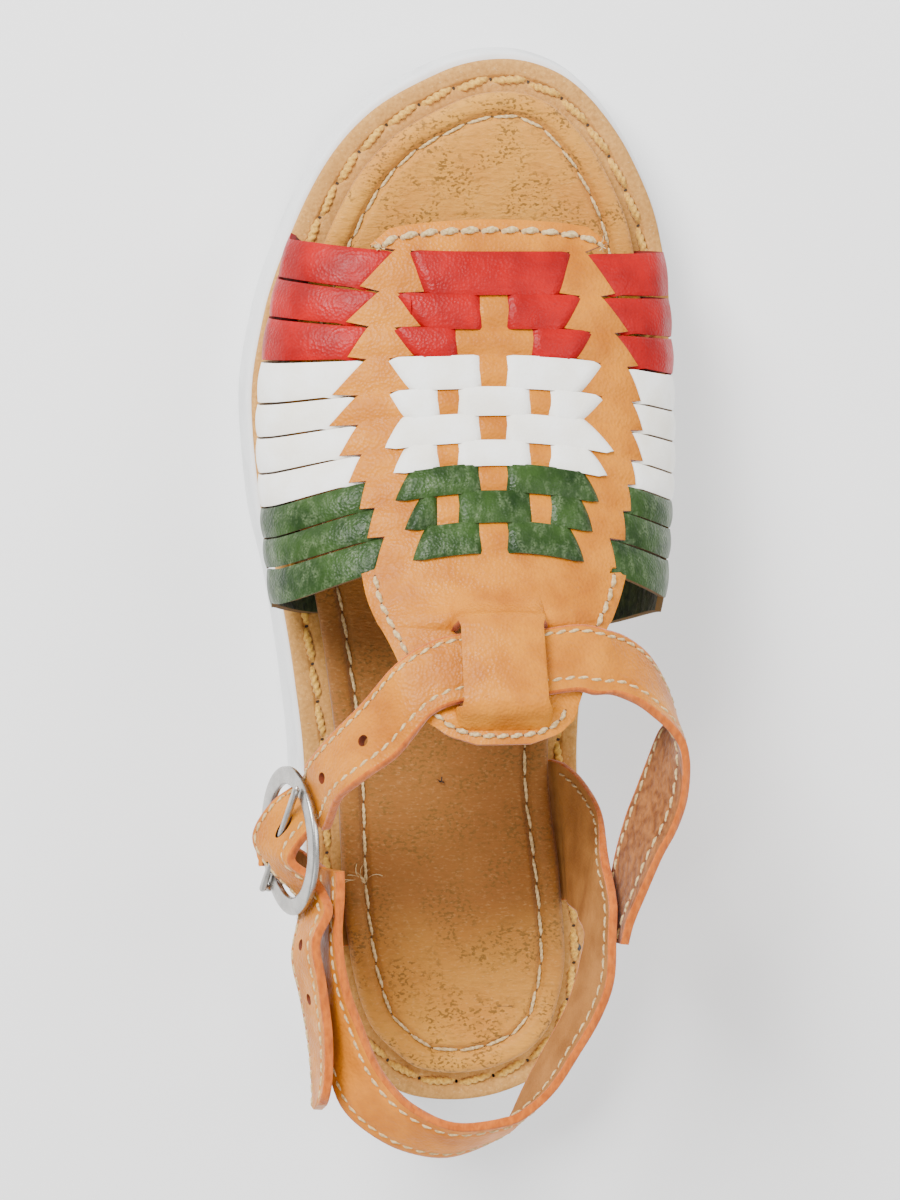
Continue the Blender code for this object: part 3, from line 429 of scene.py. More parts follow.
def midsole():
    edge = sole_outline(OUTLINE_STATIONS)

    def ring(inset, below):
        return at_height(moved_out(edge, -inset), lambda point: deck(point.y) - below)

    rings = [
        ring(FLAT_REACH, MIDSOLE_THICKNESS), ring(0.0006, MIDSOLE_THICKNESS),
        ring(0.0001, MIDSOLE_THICKNESS - 0.0005), ring(0.0, 0.5 * MIDSOLE_THICKNESS),
    ]
    rings += [ring(inset, drop) for inset, drop in BOARD_EDGE]
    for k in range(CHANNEL_STEPS + 1):
        inset = CHANNEL_INSET - CHANNEL_WIDTH / 2 + CHANNEL_WIDTH * k / CHANNEL_STEPS
        rings.append(ring(inset, CHANNEL_DEPTH * dip(inset, CHANNEL_INSET, CHANNEL_WIDTH)))
    rings += [ring(WELT_MARGIN, 0.0), ring(FLAT_REACH, 0.0)]
    piece = stacked("welt_board", rings)
    piece.data.materials.append(fibre_board())
    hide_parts("midsole")
    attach(piece, "root")


def walked(points, ups, pitch, cover):
    """Stitches along a line, spaced by the pitch and covering a share of it: each one's two ends
    and the way up."""
    lengths = [0.0]
    for a, b in zip(points, points[1:]):
        lengths.append(lengths[-1] + (b - a).length)
    count = int(lengths[-1] / pitch)
    step = lengths[-1] / max(count, 1)

    def at(length):
        k = max(i for i in range(len(lengths) - 1) if lengths[i] <= max(length, 0.0))
        share = (length - lengths[k]) / max(lengths[k + 1] - lengths[k], 1e-9)
        return points[k].lerp(points[k + 1], share), ups[k].lerp(ups[k + 1], share).normalized()

    stitches = []
    for k in range(count):
        middle = (k + 0.5) * step
        start, up = at(middle - cover * step / 2)
        end, up_end = at(min(middle + cover * step / 2, lengths[-1]))
        stitches.append((start, end, (up + up_end).normalized()))
    return stitches


def built(name, points, faces, materials=()):
    """A piece from its own points and faces."""
    mesh = bpy.data.meshes.new(name)
    mesh.from_pydata(points, [], faces)
    for material in materials:
        mesh.materials.append(material)
    piece = bpy.data.objects.new(name, mesh)
    bpy.context.collection.objects.link(piece)
    return piece


def sewn(name, stitches, thread, materials, turns, lean, proud, rings, sides=8, seed=1):
    """One mesh of sewn stitches: twisted beads of thread whose ends dive into needle holes. Lean
    is a slope across the seam, proud a share of the thread that stands above the leather."""
    chance = random.Random(seed)
    points = []
    faces = []
    slots = []
    for start, end, up in stitches:
        run = end - start
        half = run.length / 2
        run = run.normalized()
        side = up.cross(run).normalized()
        run = (run + side * (lean + chance.uniform(-STITCH_WANDER, STITCH_WANDER))).normalized()
        side = up.cross(run).normalized()
        middle = (start + end) / 2 + side * chance.uniform(-STITCH_WANDER, STITCH_WANDER) * thread
        thick = thread / 2 * chance.uniform(0.92, 1.08)
        low = len(points)
        for k in range(rings):
            t = 2.0 * k / (rings - 1) - 1.0
            swell = math.sqrt(1.0 - STITCH_TAPER * t ** 4)
            rise = thread * (proud - (proud + STITCH_DIVE) * abs(t) ** 3)
            for i in range(sides):
                angle = 2 * math.pi * i / sides
                ply = PLY_ROUND + PLY_BULGE * math.cos(2.0 * angle - turns * math.pi * t)
                reach = thick * swell * ply
                spot = middle + run * half * t + up * (rise + reach * math.sin(angle))
                points.append(spot + side * reach * math.cos(angle))
        for k in range(rings - 1):
            for i in range(sides):
                j = (i + 1) % sides
                a, b = low + k * sides, low + (k + 1) * sides
                faces.append((a + i, b + i, b + j, a + j))
                slots.append(0)
        faces.append(tuple(low + i for i in range(sides)))
        faces.append(tuple(low + (rings - 1) * sides + i for i in reversed(range(sides))))
        slots += [0, 0]
        # A flat dark disc at each end, on the second finish: painted shade of the needle hole.
        for spot, way in ((start, -1.0), (end, 1.0)):
            low = len(points)
            centre = spot + run * way * thread * HOLE_OUT + up * HOLE_LIFT
            for i in range(HOLE_SIDES):
                angle = 2 * math.pi * i / HOLE_SIDES
                reach = run * math.cos(angle) * HOLE_SHARES[0] + side * math.sin(angle) * HOLE_SHARES[1]
                points.append(centre + reach * thread)
            faces.append(tuple(range(low, low + HOLE_SIDES)))
            slots.append(1)
    piece = built(name, points, faces, materials)
    for face, slot in zip(piece.data.polygons, slots):
        face.material_index = slot
        face.use_smooth = True
    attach(piece, "root")
    return piece


def frayed(name, ends, material, fibres, reach, seed=40):
    """Loose thread: fine curling fibres fanned out from each end, over the surface there."""
    chance = random.Random(seed)
    points = []
    faces = []
    for start, way, up in ends:
        side = up.cross(way).normalized()
        for _ in range(fibres):
            turn = chance.uniform(-FIBRE_TURN, FIBRE_TURN)
            curl = chance.uniform(-FIBRE_CURL, FIBRE_CURL)
            stride = reach * chance.uniform(0.5, 1.0) / FIBRE_STEPS
            low = len(points)
            spot = start + side * chance.uniform(-FIBRE_SPREAD, FIBRE_SPREAD) + up * FIBRE_SPREAD
            for k in range(FIBRE_STEPS + 1):
                for i in range(FIBRE_SIDES):
                    angle = 2 * math.pi * i / FIBRE_SIDES
                    points.append(spot + (side * math.cos(angle) + up * math.sin(angle)) * FIBRE_RADIUS)
                turn += curl
                ahead = (way * math.cos(turn) + side * math.sin(turn)) * stride
                spot = spot + ahead + up * stride * (FIBRE_RISE - FIBRE_FALL * k)
            for k in range(FIBRE_STEPS):
                for i in range(FIBRE_SIDES):
                    j = (i + 1) % FIBRE_SIDES
                    a, b = low + FIBRE_SIDES * k, low + FIBRE_SIDES * (k + 1)
                    faces.append((a + i, b + i, b + j, a + j))
    piece = built(name, points, faces, [material])
    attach(piece, "root")


def round_line(ring, inset, height):
    """The closed line of a seam all round, at an inset and a height, with its ways up."""
    line = at_height(moved_out(ring, -inset), height)
    line.append(line[0])
    return line, [Vector((0.0, 0.0, 1.0))] * len(line)


def welt_seam():
    line, ups = round_line(sole_outline(OUTLINE_STATIONS), CHANNEL_INSET,
                           lambda point: deck(point.y) - 0.8 * CHANNEL_DEPTH)
    yellow = waxed_thread("waxed_yellow", THREAD_YELLOW, THREAD_AMBER)
    # The second finish colours the flat discs at the stitch ends: painted shade of the awl holes.
    finishes = [yellow, plain("awl_hole_shade", HOLE_SHADE_BROWN, 0.9)]
    seam = sewn("welt_seam", walked(line, ups, WELT_PITCH, cover=0.97), WELT_THREAD, finishes,
                turns=5.0, lean=0.10, proud=0.34, rings=29, sides=12)


def welt_nails():
    steel = plain("nail_head", NAIL_STEEL, 0.45)
    for index, (x, y) in enumerate(NAIL_PLACES):
        bpy.ops.object.select_all(action="DESELECT")
        bpy.ops.mesh.primitive_uv_sphere_add(segments=16, ring_count=8, radius=NAIL_DIAMETER / 2)
        nail = bpy.context.object
        nail.name = f"welt_nail_{index}"
        for vertex in nail.data.vertices:
            vertex.co = Vector((x + vertex.co.x, y + vertex.co.y, deck(y) + 0.25 * vertex.co.z))
        bpy.ops.object.shade_smooth()
        nail.data.materials.append(steel)
        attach(nail, "root")


midsole()
welt_seam()
welt_nails()

# Footbed: thin foam under a soft tan lining, folded over its edge and quilted down by one channel
# of pale thread that leaves a plump rim. It is glued on the midsole after the uppers are tucked in.
FOOTBED_THICKNESS = 0.0042
FOOTBED_ROUND = 0.0012
TUCK_DEPTH = 0.0050
STRAP_THICKNESS = 0.0015
QUILT_INSET = 0.0057
QUILT_WIDTH = 0.0034
QUILT_DEPTH = 0.0011
RIM_PUFF = 0.0006
RIM_INSETS = (0.0011, 0.0018, 0.0026, 0.0034)
INNER_INSETS = (0.0080, 0.0088, 0.0098, 0.0110)
QUILT_THREAD = 0.0009
QUILT_PITCH = 0.0065
LINING_TAN = (0.60, 0.270, 0.036)
LINING_WARM = (0.52, 0.205, 0.026)
# Colour of the lining's darkening between ball and heel end: partly dirt from walking, partly painted shade
# cast by the upper.
LINING_TRODDEN_AND_SHADED = (0.20, 0.068, 0.012)
LINING_FLECK = (0.15, 0.070, 0.010)
LINING_DUST = (0.74, 0.43, 0.17)
THREAD_CREAM = (0.66, 0.48, 0.235)
THREAD_BEIGE = (0.36, 0.22, 0.075)
# Colour of the flat discs at stitch ends: painted shade of the needle holes.
NEEDLE_HOLE_SHADE = (0.10, 0.045, 0.02)
FLUFF_BLACK = (0.012, 0.010, 0.009)
LOOSE_END = -0.0700
LOOSE_WAY = (-0.70, 0.71, 0.0)
SPECK = (-0.0060, -0.0465)
TUCKS = (
    # along, outer, inner
    (0.000, 0.0, 0.0),
    (0.100, 0.0, 0.0),
    (0.130, 1.0, 0.0),
    (0.150, 1.0, 0.0),
    (0.180, 1.0, 1.0),
    (0.245, 1.0, 1.0),
    (0.275, 0.0, 1.0),
    (0.350, 0.0, 1.0),
    (0.385, 0.0, 0.0),
    (0.418, 0.0, 0.0),
    (0.450, 1.0, 1.0),
    (0.852, 1.0, 1.0),
    (0.887, 0.0, 0.0),
    (1.000, 0.0, 0.0),
)
footbed_ring = moved_out(sole_outline(OUTLINE_STATIONS), -WELT_MARGIN)


def soft_lining():
    """Tan lining with fine cross wrinkles and clusters of darker flecks, darker from behind the ball to
    before the heel end: partly dirt from walking, partly painted shade of the upper.
    """
    material, tree, shader = finish("soft_lining", 0.58)
    patches = spread(tree, clouds(tree, 0.022, 4.0), 0.36, 0.66)
    wrinkles = clouds(tree, 0.0022, 5.0, stretch=(0.8, 2.0, 1.0))
    nap = clouds(tree, 0.0007, 3.0, stretch=(0.7, 1.4, 1.0))
    clusters = spread(tree, clouds(tree, 0.009, 5.0), 0.44, 0.56)
    flecks = spread(tree, clouds(tree, 0.00080, 2.0, stretch=(0.85, 1.15, 1.0)), 0.53, 0.60)
    place = wired(tree, "TexCoord", {}).outputs["Object"]
    along = wired(tree, "SeparateXYZ", {"Vector": place}).outputs["Y"]
    # The worn mask darkens the lining from behind the ball to before the heel end: partly dirt from
    # walking, partly painted shade cast by the upper.
    behind_ball = spread(tree, along, 0.045, -0.010)
    before_heel_end = spread(tree, along, -0.108, -0.075, 0.0, 0.85)
    worn = combined(tree, "MULTIPLY", behind_ball, before_heel_end)
    base = toned(tree, patches, LINING_TAN, LINING_WARM)
    trodden_and_shaded = toned(tree, worn, base, LINING_TRODDEN_AND_SHADED)
    creased = toned(tree, spread(tree, wrinkles, 0.52, 0.74, 0.0, 0.30), trodden_and_shaded, LINING_FLECK)
    dusted = toned(tree, spread(tree, nap, 0.55, 0.80, 0.0, 0.25), creased, LINING_DUST)
    marks = combined(tree, "MULTIPLY", combined(tree, "MULTIPLY", clusters, flecks), 0.80)
    tree.links.new(toned(tree, marks, dusted, LINING_FLECK), shader.inputs["Base Color"])
    shader.inputs["Sheen Weight"].default_value = 0.15
    embossed(tree, shader, [(wrinkles, 0.00035), (nap, 0.00010)])
    return material


def footbed():
    outer = column(TUCKS, 1)
    inner = column(TUCKS, 2)
    middle = footbed_ring[0].x
    rebate = STRAP_THICKNESS + GAP

    def tucked(point):
        side = outer if point.x < middle else inner
        return side(to_along(point.y)) * rebate

    def ring(inset, rise):
        moved = moved_out(footbed_ring, -inset)
        if rise is None:
            return [Vector((p.x, p.y, deck(p.y) + GAP + tucked(q))) for p, q in zip(moved, footbed_ring)]
        return at_height(moved, lambda point: deck(point.y) + GAP + rise)

    wall = TUCK_DEPTH + FOOTBED_ROUND
    lower = ring(FOOTBED_ROUND / 3, None)
    side = [Vector((p.x, p.y, low.z + FOOTBED_ROUND / 2)) for p, low in zip(footbed_ring, lower)]
    rings = [ring(wall + 2 * EDGE_ROUND, 0.0), ring(wall, None), lower, side]
    for inset, share in ((0.0, 1.0), (0.00015, 0.6), (0.0005, 0.25)):
        rings.append(ring(inset, FOOTBED_THICKNESS - share * FOOTBED_ROUND))
    first = QUILT_INSET - QUILT_WIDTH / 2
    channel = [first + QUILT_WIDTH * k / CHANNEL_STEPS for k in range(1, CHANNEL_STEPS + 1)]
    for inset in (*RIM_INSETS, *channel, *INNER_INSETS):
        puff = RIM_PUFF * math.sin(math.pi * min(inset / QUILT_INSET, 1.0))
        if inset > QUILT_INSET:
            inward = min((inset - QUILT_INSET) / (2 * QUILT_INSET), 0.5)
            puff = 0.5 * RIM_PUFF * math.sin(math.pi * inward)
        sunk = QUILT_DEPTH * dip(inset, QUILT_INSET, QUILT_WIDTH)
        rings.append(ring(inset, FOOTBED_THICKNESS - 0.1 * FOOTBED_ROUND + puff - sunk))
    piece = stacked("padded_footbed", rings, cuts=14)
    piece.data.materials.append(soft_lining())
    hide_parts("footbed")
    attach(piece, "root")


pale_thread = waxed_thread("pale_thread", THREAD_CREAM, THREAD_BEIGE)
# Dark finish for the flat discs at stitch ends: painted shade of the needle holes.
needle_hole_shade = plain("needle_hole_shade", NEEDLE_HOLE_SHADE, 0.9)


def quilting():
    top = GAP + FOOTBED_THICKNESS
    line, ups = round_line(footbed_ring, QUILT_INSET,
                           lambda point: deck(point.y) + (top - 0.85 * QUILT_DEPTH))
    # The second finish colours the flat discs at the stitch ends: painted shade of the quilting holes.
    finishes = [pale_thread, plain("quilting_hole_shade", HOLE_SHADE_BROWN, 0.9)]
    seam = sewn("footbed_quilting", walked(line, ups, QUILT_PITCH, cover=0.93), QUILT_THREAD, finishes,
                turns=4.0, lean=0.05, proud=0.30, rings=19, sides=10)
    outer_side = (point for point in line if point.x < 0.0)
    loose = min(outer_side, key=lambda point: abs(point.y - LOOSE_END))
    tuft = (loose, Vector(LOOSE_WAY), ups[0])
    frayed("loose_thread", [tuft], pale_thread, fibres=13, reach=0.0070, seed=41)
    x, y = SPECK
    speck = (Vector((x, y, deck(y) + top + 0.0005)), Vector((0.0, 1.0, 0.0)), ups[0])
    black = plain("black_fluff", FLUFF_BLACK, 0.9)
    frayed("speck_of_fluff", [speck], black, fibres=5, reach=0.0016, seed=42)


footbed()
quilting()

# Woven vamp: a tan plate with slits, and ten dyed straps, three red, four white and three green,
# woven through it over and under three uprights. All cut from leather, the strap ends glued under
# the footbed. Each is laid on the foot's form as a thin sheet and given its wall.
INSTEP_HEIGHT = 0.0620
LAST_FULLNESS = 2.2
RIDGE_OFFSET = 0.0030
PLATE_THICKNESS = 0.0016
WEAVE_RISE = 0.0010
WEAVE_DIP = 0.0009
WEAVE_RAMP = 0.0016
SIDE_GAP = 0.0011
CENTRE_GAP = 0.0006
SLOT_WIDTH = 0.0010
TOOTH_OVERLAP = 0.0009
BAND_WIDTH = 0.0160
BAND_THICKNESS = 0.0024
SLOT_CLEARANCE = 0.0006
TAN = (0.60, 0.208, 0.009)
TAN_DARK = (0.43, 0.125, 0.005)
RAW_ORANGE = (0.58, 0.140, 0.010)
RED = (0.40, 0.001, 0.002)
RED_DEEP = (0.25, 0.001, 0.002)
WHITE = (0.97, 0.96, 0.92)
WHITE_WORN = (0.88, 0.84, 0.74)
GREEN = (0.027, 0.062, 0.011)
GREEN_DEEP = (0.007, 0.024, 0.003)
GREEN_SCUFFED = (0.120, 0.165, 0.082)
STRAP_COLOURS = ("red",) * 3 + ("white",) * 4 + ("green",) * 3
FORM_CUTS = (
    # along, outer, inner, ridge, widest
    (0.300, 0.400, 0.400, 1.060, 0.370),
    (0.379, 0.415, 0.415, 1.000, 0.350),
    (0.451, 0.437, 0.433, 0.920, 0.315),
    (0.499, 0.450, 0.447, 0.840, 0.290),
    (0.559, 0.464, 0.463, 0.742, 0.268),
    (0.651, 0.472, 0.481, 0.613, 0.220),
    (0.719, 0.458, 0.480, 0.532, 0.197),
    (0.802, 0.414, 0.468, 0.435, 0.162),
    (0.830, 0.392, 0.458, 0.387, 0.150),
    (0.865, 0.360, 0.440, 0.320, 0.130),
)
STRAP_LINES = (
    # outer, ridge, inner
    (0.8367, 0.8180, 0.8180),
    (0.7976, 0.7795, 0.7733),
    (0.7589, 0.7490, 0.7335),
    (0.7165, 0.7240, 0.6965),
    (0.6773, 0.6950, 0.6610),
    (0.6463, 0.6705, 0.6315),
    (0.6130, 0.6460, 0.5995),
    (0.5813, 0.6250, 0.5725),
    (0.5524, 0.6010, 0.5445),
    (0.5243, 0.5740, 0.5130),
    (0.4880, 0.5475, 0.4695),
)
SLITS = (
    # outer front, outer rear, left front, left rear, right front, right rear, inner front, inner rear
    (-0.171, -0.254, -0.138, -0.104, 0.230, 0.195, 0.266, 0.334),
    (-0.209, -0.287, -0.171, -0.108, 0.250, 0.200, 0.298, 0.362),
    (-0.236, -0.286, -0.181, -0.126, 0.273, 0.226, 0.327, 0.384),
    (-0.243, -0.322, -0.195, -0.140, 0.294, 0.233, 0.355, 0.387),
    (-0.263, -0.331, -0.195, -0.153, 0.295, 0.231, 0.363, 0.389),
    (-0.265, -0.311, -0.169, -0.208, 0.246, 0.315, 0.357, 0.385),
    (-0.260, -0.293, -0.161, -0.191, 0.253, 0.294, 0.353, 0.364),
    (-0.253, -0.271, -0.155, -0.190, 0.238, 0.270, 0.342, 0.348),
    (-0.236, -0.257, -0.133, -0.173, 0.228, 0.250, 0.327, 0.329),
    (-0.218, -0.244, -0.126, -0.158, 0.197, 0.225, 0.290, 0.303),
)
DIPS = ((), (1,), (0, 1, 2), (1,), (0, 2), (1,), (0, 2), (1,), (0, 2), (1,))
UPRIGHTS = ((-0.073, -0.023), (0.021, 0.087), (0.136, 0.186))
UPRIGHT_LEAN = 0.032
TAB_ROWS = (
    # along, outer, inner, raised, slotted
    (0.5290, -0.272, 0.330, 0.00, False),
    (0.5130, -0.266, 0.316, 0.00, False),
    (0.5000, -0.257, 0.302, 0.25, False),
    (0.4890, -0.245, 0.287, 0.60, False),
    (0.4805, -0.234, 0.273, 1.00, True),
    (0.4570, -0.206, 0.241, 1.00, True),
    (0.4360, -0.187, 0.214, 1.00, True),
    (0.4140, -0.167, 0.191, 1.00, False),
    (0.4060, -0.151, 0.182, 0.50, False),
    (0.3985, -0.128, 0.166, 0.00, False),
    (0.3905, -0.098, 0.140, 0.00, False),
    (0.3835, -0.040, 0.080, 0.00, False),
)
PLATE_FRONT = (0.8485, 0.010, 0.048, 0.275)
PLATE_FRONT_ENDS = (-0.228, 0.322)
PLATE_CORNER = 0.26
CORNER_FROM = 0.78
CELLS = 11
CELL_STEPS = 5
SLIT_CELLS = (2, 8)
OPEN_CELLS = (2, 4, 6, 8)
OPEN_UPRIGHTS = (3, 7)
MARGIN_CELLS = (0, 1, 9, 10)
EDGE_PUCKER = 0.00040
OVER_PUCKER = 0.00075
UNDER_PUCKER = 0.00055
SLOT_PLACES = (-0.068, 0.112)
TAB_MARGIN = 0.024
FRONT_SEAM_INSET = 0.0019
TAB_SEAM_INSET = 0.0024
PLATE_THREAD = 0.0012
PLATE_PITCH = 0.0031
BRIDGE_CROWN = 0.0007
FRONT_THREAD = 0.0017
FRONT_PITCH = 0.0044
FRONT_MARGIN = 0.0022
INSET_STEPS = 12
WIDE_UPRIGHT = (-0.035, 0.1435)
STRAP_BULGE = 0.00022
STRAP_CROWN = 0.00045
STRAP_SWEEP = {0: (0.0032, 0.0, 0.0, 0.0), 9: (0.0035, 0.0060, 0.0035, 0.0060)}
STRAP_GRID = 8
SIDE_TURNS = [3.0, 2.5, 2.15] + [2.0 - 0.06 * k for k in range(19)]
TOP_FROM = 0.80
EVEN_GAP_FROM = 0.4
TURN_STEP = 0.01
ALONG_STEP = 0.0005
TAB_SWELL = 0.45
RAMP_STEP = 0.0006

form_widths = (column(FORM_CUTS, 1), column(FORM_CUTS, 2))
form_ridge = column(FORM_CUTS, 3)
form_widest = column(FORM_CUTS, 4)


def edge_reader(side):
    """A function that reads the footbed's edge across, on one side, at a place along."""
    half = len(footbed_ring) // 2
    points = footbed_ring[:half + 1] if side < 0 else [footbed_ring[0]] + footbed_ring[:half - 1:-1]
    points = sorted(points, key=lambda point: point.y)
    places = [point.y for point in points]

    def read(y):
        i = min(max(bisect(places, y) - 1, 0), len(points) - 2)
        share = (y - places[i]) / (places[i + 1] - places[i])
        return points[i].x + (points[i + 1].x - points[i].x) * share
    return read


outer_edge = edge_reader(-1)
inner_edge = edge_reader(1)


def footbed_edge(side, y):
    return outer_edge(y) if side < 0 else inner_edge(y)


def form_half_width(side, y):
    half = form_widths[0 if side < 0 else 1](to_along(y)) * BALL_WIDTH
    return half + RIDGE_OFFSET if side < 0 else half - RIDGE_OFFSET


def form_point(side, turned, y):
    """A point on the foot's form: turned is 0 on the ridge, 1 on the widest line, 2 at the
    footbed's edge and 3 at the end of the tuck below it."""
    along = to_along(y)
    widest = form_widest(along) * INSTEP_HEIGHT
    half = form_half_width(side, y)
    if turned <= 1.0:
        angle = turned * math.pi / 2
        power = 2.0 / LAST_FULLNESS
        x = RIDGE_OFFSET + side * half * math.sin(angle) ** power
        rise = form_ridge(along) * INSTEP_HEIGHT - widest
        return Vector((x, y, deck(y) + widest + rise * max(math.cos(angle), 0.0) ** power))
    edge = footbed_edge(side, y)
    low = deck(y) + GAP + STRAP_THICKNESS
    if turned <= 2.0:
        angle = (turned - 1.0) * math.pi / 2
        x = edge + (RIDGE_OFFSET + side * half - edge) * math.cos(angle)
        return Vector((x, y, low + (deck(y) + widest - low) * (1.0 - math.sin(angle))))
    return Vector((edge - side * (turned - 2.0) * TUCK_DEPTH, y, low))


def turned_at(x, y):
    side = -1 if x < RIDGE_OFFSET else 1
    share = min(abs(x - RIDGE_OFFSET) / form_half_width(side, y), 1.0)
    return side, math.asin(share ** (LAST_FULLNESS / 2.0)) / (math.pi / 2)


def form_normal(side, turned, y):
    before = form_point(side, max(turned - TURN_STEP, 0.0), y)
    after = form_point(side, min(turned + TURN_STEP, 3.0), y)
    ahead = form_point(side, turned, y + ALONG_STEP)
    behind = form_point(side, turned, y - ALONG_STEP)
    normal = ((after - before).cross(ahead - behind) * side).normalized()
    return -normal if normal.z < 0 and turned < 1 else normal


def lifted(x, y, height):
    """A point above the form, from its place seen from above."""
    side, turned = turned_at(x, y)
    return form_point(side, turned, y) + form_normal(side, turned, y) * height


def eased(t):
    t = min(max(t, 0.0), 1.0)
    return t * t * (3.0 - 2.0 * t)


def strap_line(index, x):
    """Place along the sole of a line between straps, at a place across."""
    outer, ridge, inner = STRAP_LINES[index]
    share = (x - RIDGE_OFFSET) / (0.5 * BALL_WIDTH)
    end = outer if share < 0 else inner
    return to_y(ridge + (end - ridge) * min(share * share, 1.0))


def upright_edges(y):
    share = (STRAP_LINES[0][1] - to_along(y)) / (STRAP_LINES[0][1] - STRAP_LINES[-1][1])
    lean = UPRIGHT_LEAN * min(max(share, 0.0), 1.0)
    return [(edge - lean) * BALL_WIDTH for pair in UPRIGHTS for edge in pair]


def grained(name, colour, deep, roughness, grain=0.0007, depth=0.00010, worn=None):
    """Dyed grain leather: mottled, with fine pores, creases and, on some, a paler worn dye."""
    material, tree, shader = finish(name, roughness)
    mottle = spread(tree, clouds(tree, 0.009, 4.0), 0.36, 0.68)
    fine = clouds(tree, 0.0009, 3.0)
    base = toned(tree, mottle, colour, deep)
    base = toned(tree, spread(tree, fine, 0.55, 0.78, 0.0, 0.45), base, deep)
    if worn:
        scuffs = clouds(tree, 0.0030, 5.0, stretch=(2.0, 0.8, 1.0))
        streaks = spread(tree, scuffs, 0.46, 0.70, 0.0, 0.80)
        rough = spread(tree, clouds(tree, 0.0005, 3.0), 0.36, 0.66)
        base = toned(tree, combined(tree, "MULTIPLY", streaks, rough), base, worn)
    tree.links.new(base, shader.inputs["Base Color"])
    shine = spread(tree, clouds(tree, 0.004, 4.0), 0.3, 0.7, roughness - 0.08, roughness + 0.10)
    tree.links.new(shine, shader.inputs["Roughness"])
    cells = pores(tree, grain)
    creases = clouds(tree, 0.0055, 3.0, stretch=(0.45, 1.0, 1.0))
    embossed(tree, shader, [(creases, 0.00035), (cells, depth)])
    return material


def suede(name, colour, deep):
    """The rough flesh side: matted fibres."""
    material, tree, shader = finish(name, 0.95)
    fibres = clouds(tree, 0.0011, 6.0, stretch=(1.0, 0.45, 0.7))
    base = toned(tree, spread(tree, fibres, 0.34, 0.66), deep, colour)
    tree.links.new(base, shader.inputs["Base Color"])
    shader.inputs["Sheen Weight"].default_value = 0.3
    embossed(tree, shader, [(fibres, 0.0005)])
    return material


def walled(piece, thickness, finishes, soft, even=True):
    """Give a sheet its wall: grain outside, flesh inside, a raw cut edge all round, softened."""
    for material in finishes:
        piece.data.materials.append(material)
    wall = piece.modifiers.new("wall", "SOLIDIFY")
    wall.thickness = thickness
    wall.offset = 1.0
    wall.use_even_offset = even
    wall.material_offset = 1
    wall.material_offset_rim = 2
    round_off = piece.modifiers.new("soft_edges", "BEVEL")
    round_off.width = soft
    round_off.segments = 2
    round_off.angle_limit = math.radians(50)
    bpy.context.view_layer.objects.active = piece
    piece.select_set(True)
    for modifier in (wall.name, round_off.name):
        bpy.ops.object.modifier_apply(modifier=modifier)
    bpy.ops.object.shade_smooth_by_angle(angle=math.radians(42))


def crossings(index):
    """Spans across where a strap goes under the uprights, or under the wide joint behind the reds."""
    if DIPS[index] == (0, 1, 2):
        lean = UPRIGHT_LEAN / 4
        return [((WIDE_UPRIGHT[0] - lean) * BALL_WIDTH, (WIDE_UPRIGHT[1] - lean) * BALL_WIDTH)]
    middle = (strap_line(index, 0.0) + strap_line(index + 1, 0.0)) / 2
    edges = upright_edges(middle)
    return [(edges[2 * upright], edges[2 * upright + 1]) for upright in DIPS[index]]


def strap_levels(index):
    """Places across of a strap's ups and downs, for its front and rear edge, with their heights."""
    slits = [slit * BALL_WIDTH for slit in SLITS[index]]
    ramp = WEAVE_RAMP
    over = WEAVE_RISE
    under = -WEAVE_DIP
    levels = [
        (slits[0] - ramp, slits[1] - ramp, 0.0),
        (slits[0] + ramp, slits[1] + ramp, under),
        (slits[2] - ramp / 2, slits[3] - ramp / 2, under),
        (slits[2] + ramp, slits[3] + ramp, over),
    ]
    for left, right in crossings(index):
        levels.append((left - ramp, left - ramp, over))
        levels.append((left + ramp / 2, left + ramp / 2, under))
        levels.append((right - ramp / 2, right - ramp / 2, under))
        levels.append((right + ramp, right + ramp, over))
    levels += [
        (slits[4] - ramp, slits[5] - ramp, over),
        (slits[4] + ramp / 2, slits[5] + ramp / 2, under),
        (slits[6] - ramp, slits[7] - ramp, under),
        (slits[6] + ramp, slits[7] + ramp, 0.0),
    ]
    tidy = [levels[0]]
    for level in levels[1:]:
        if min(level[0] - tidy[-1][0], level[1] - tidy[-1][1]) > ramp / 3:
            tidy.append(level)
    return tidy


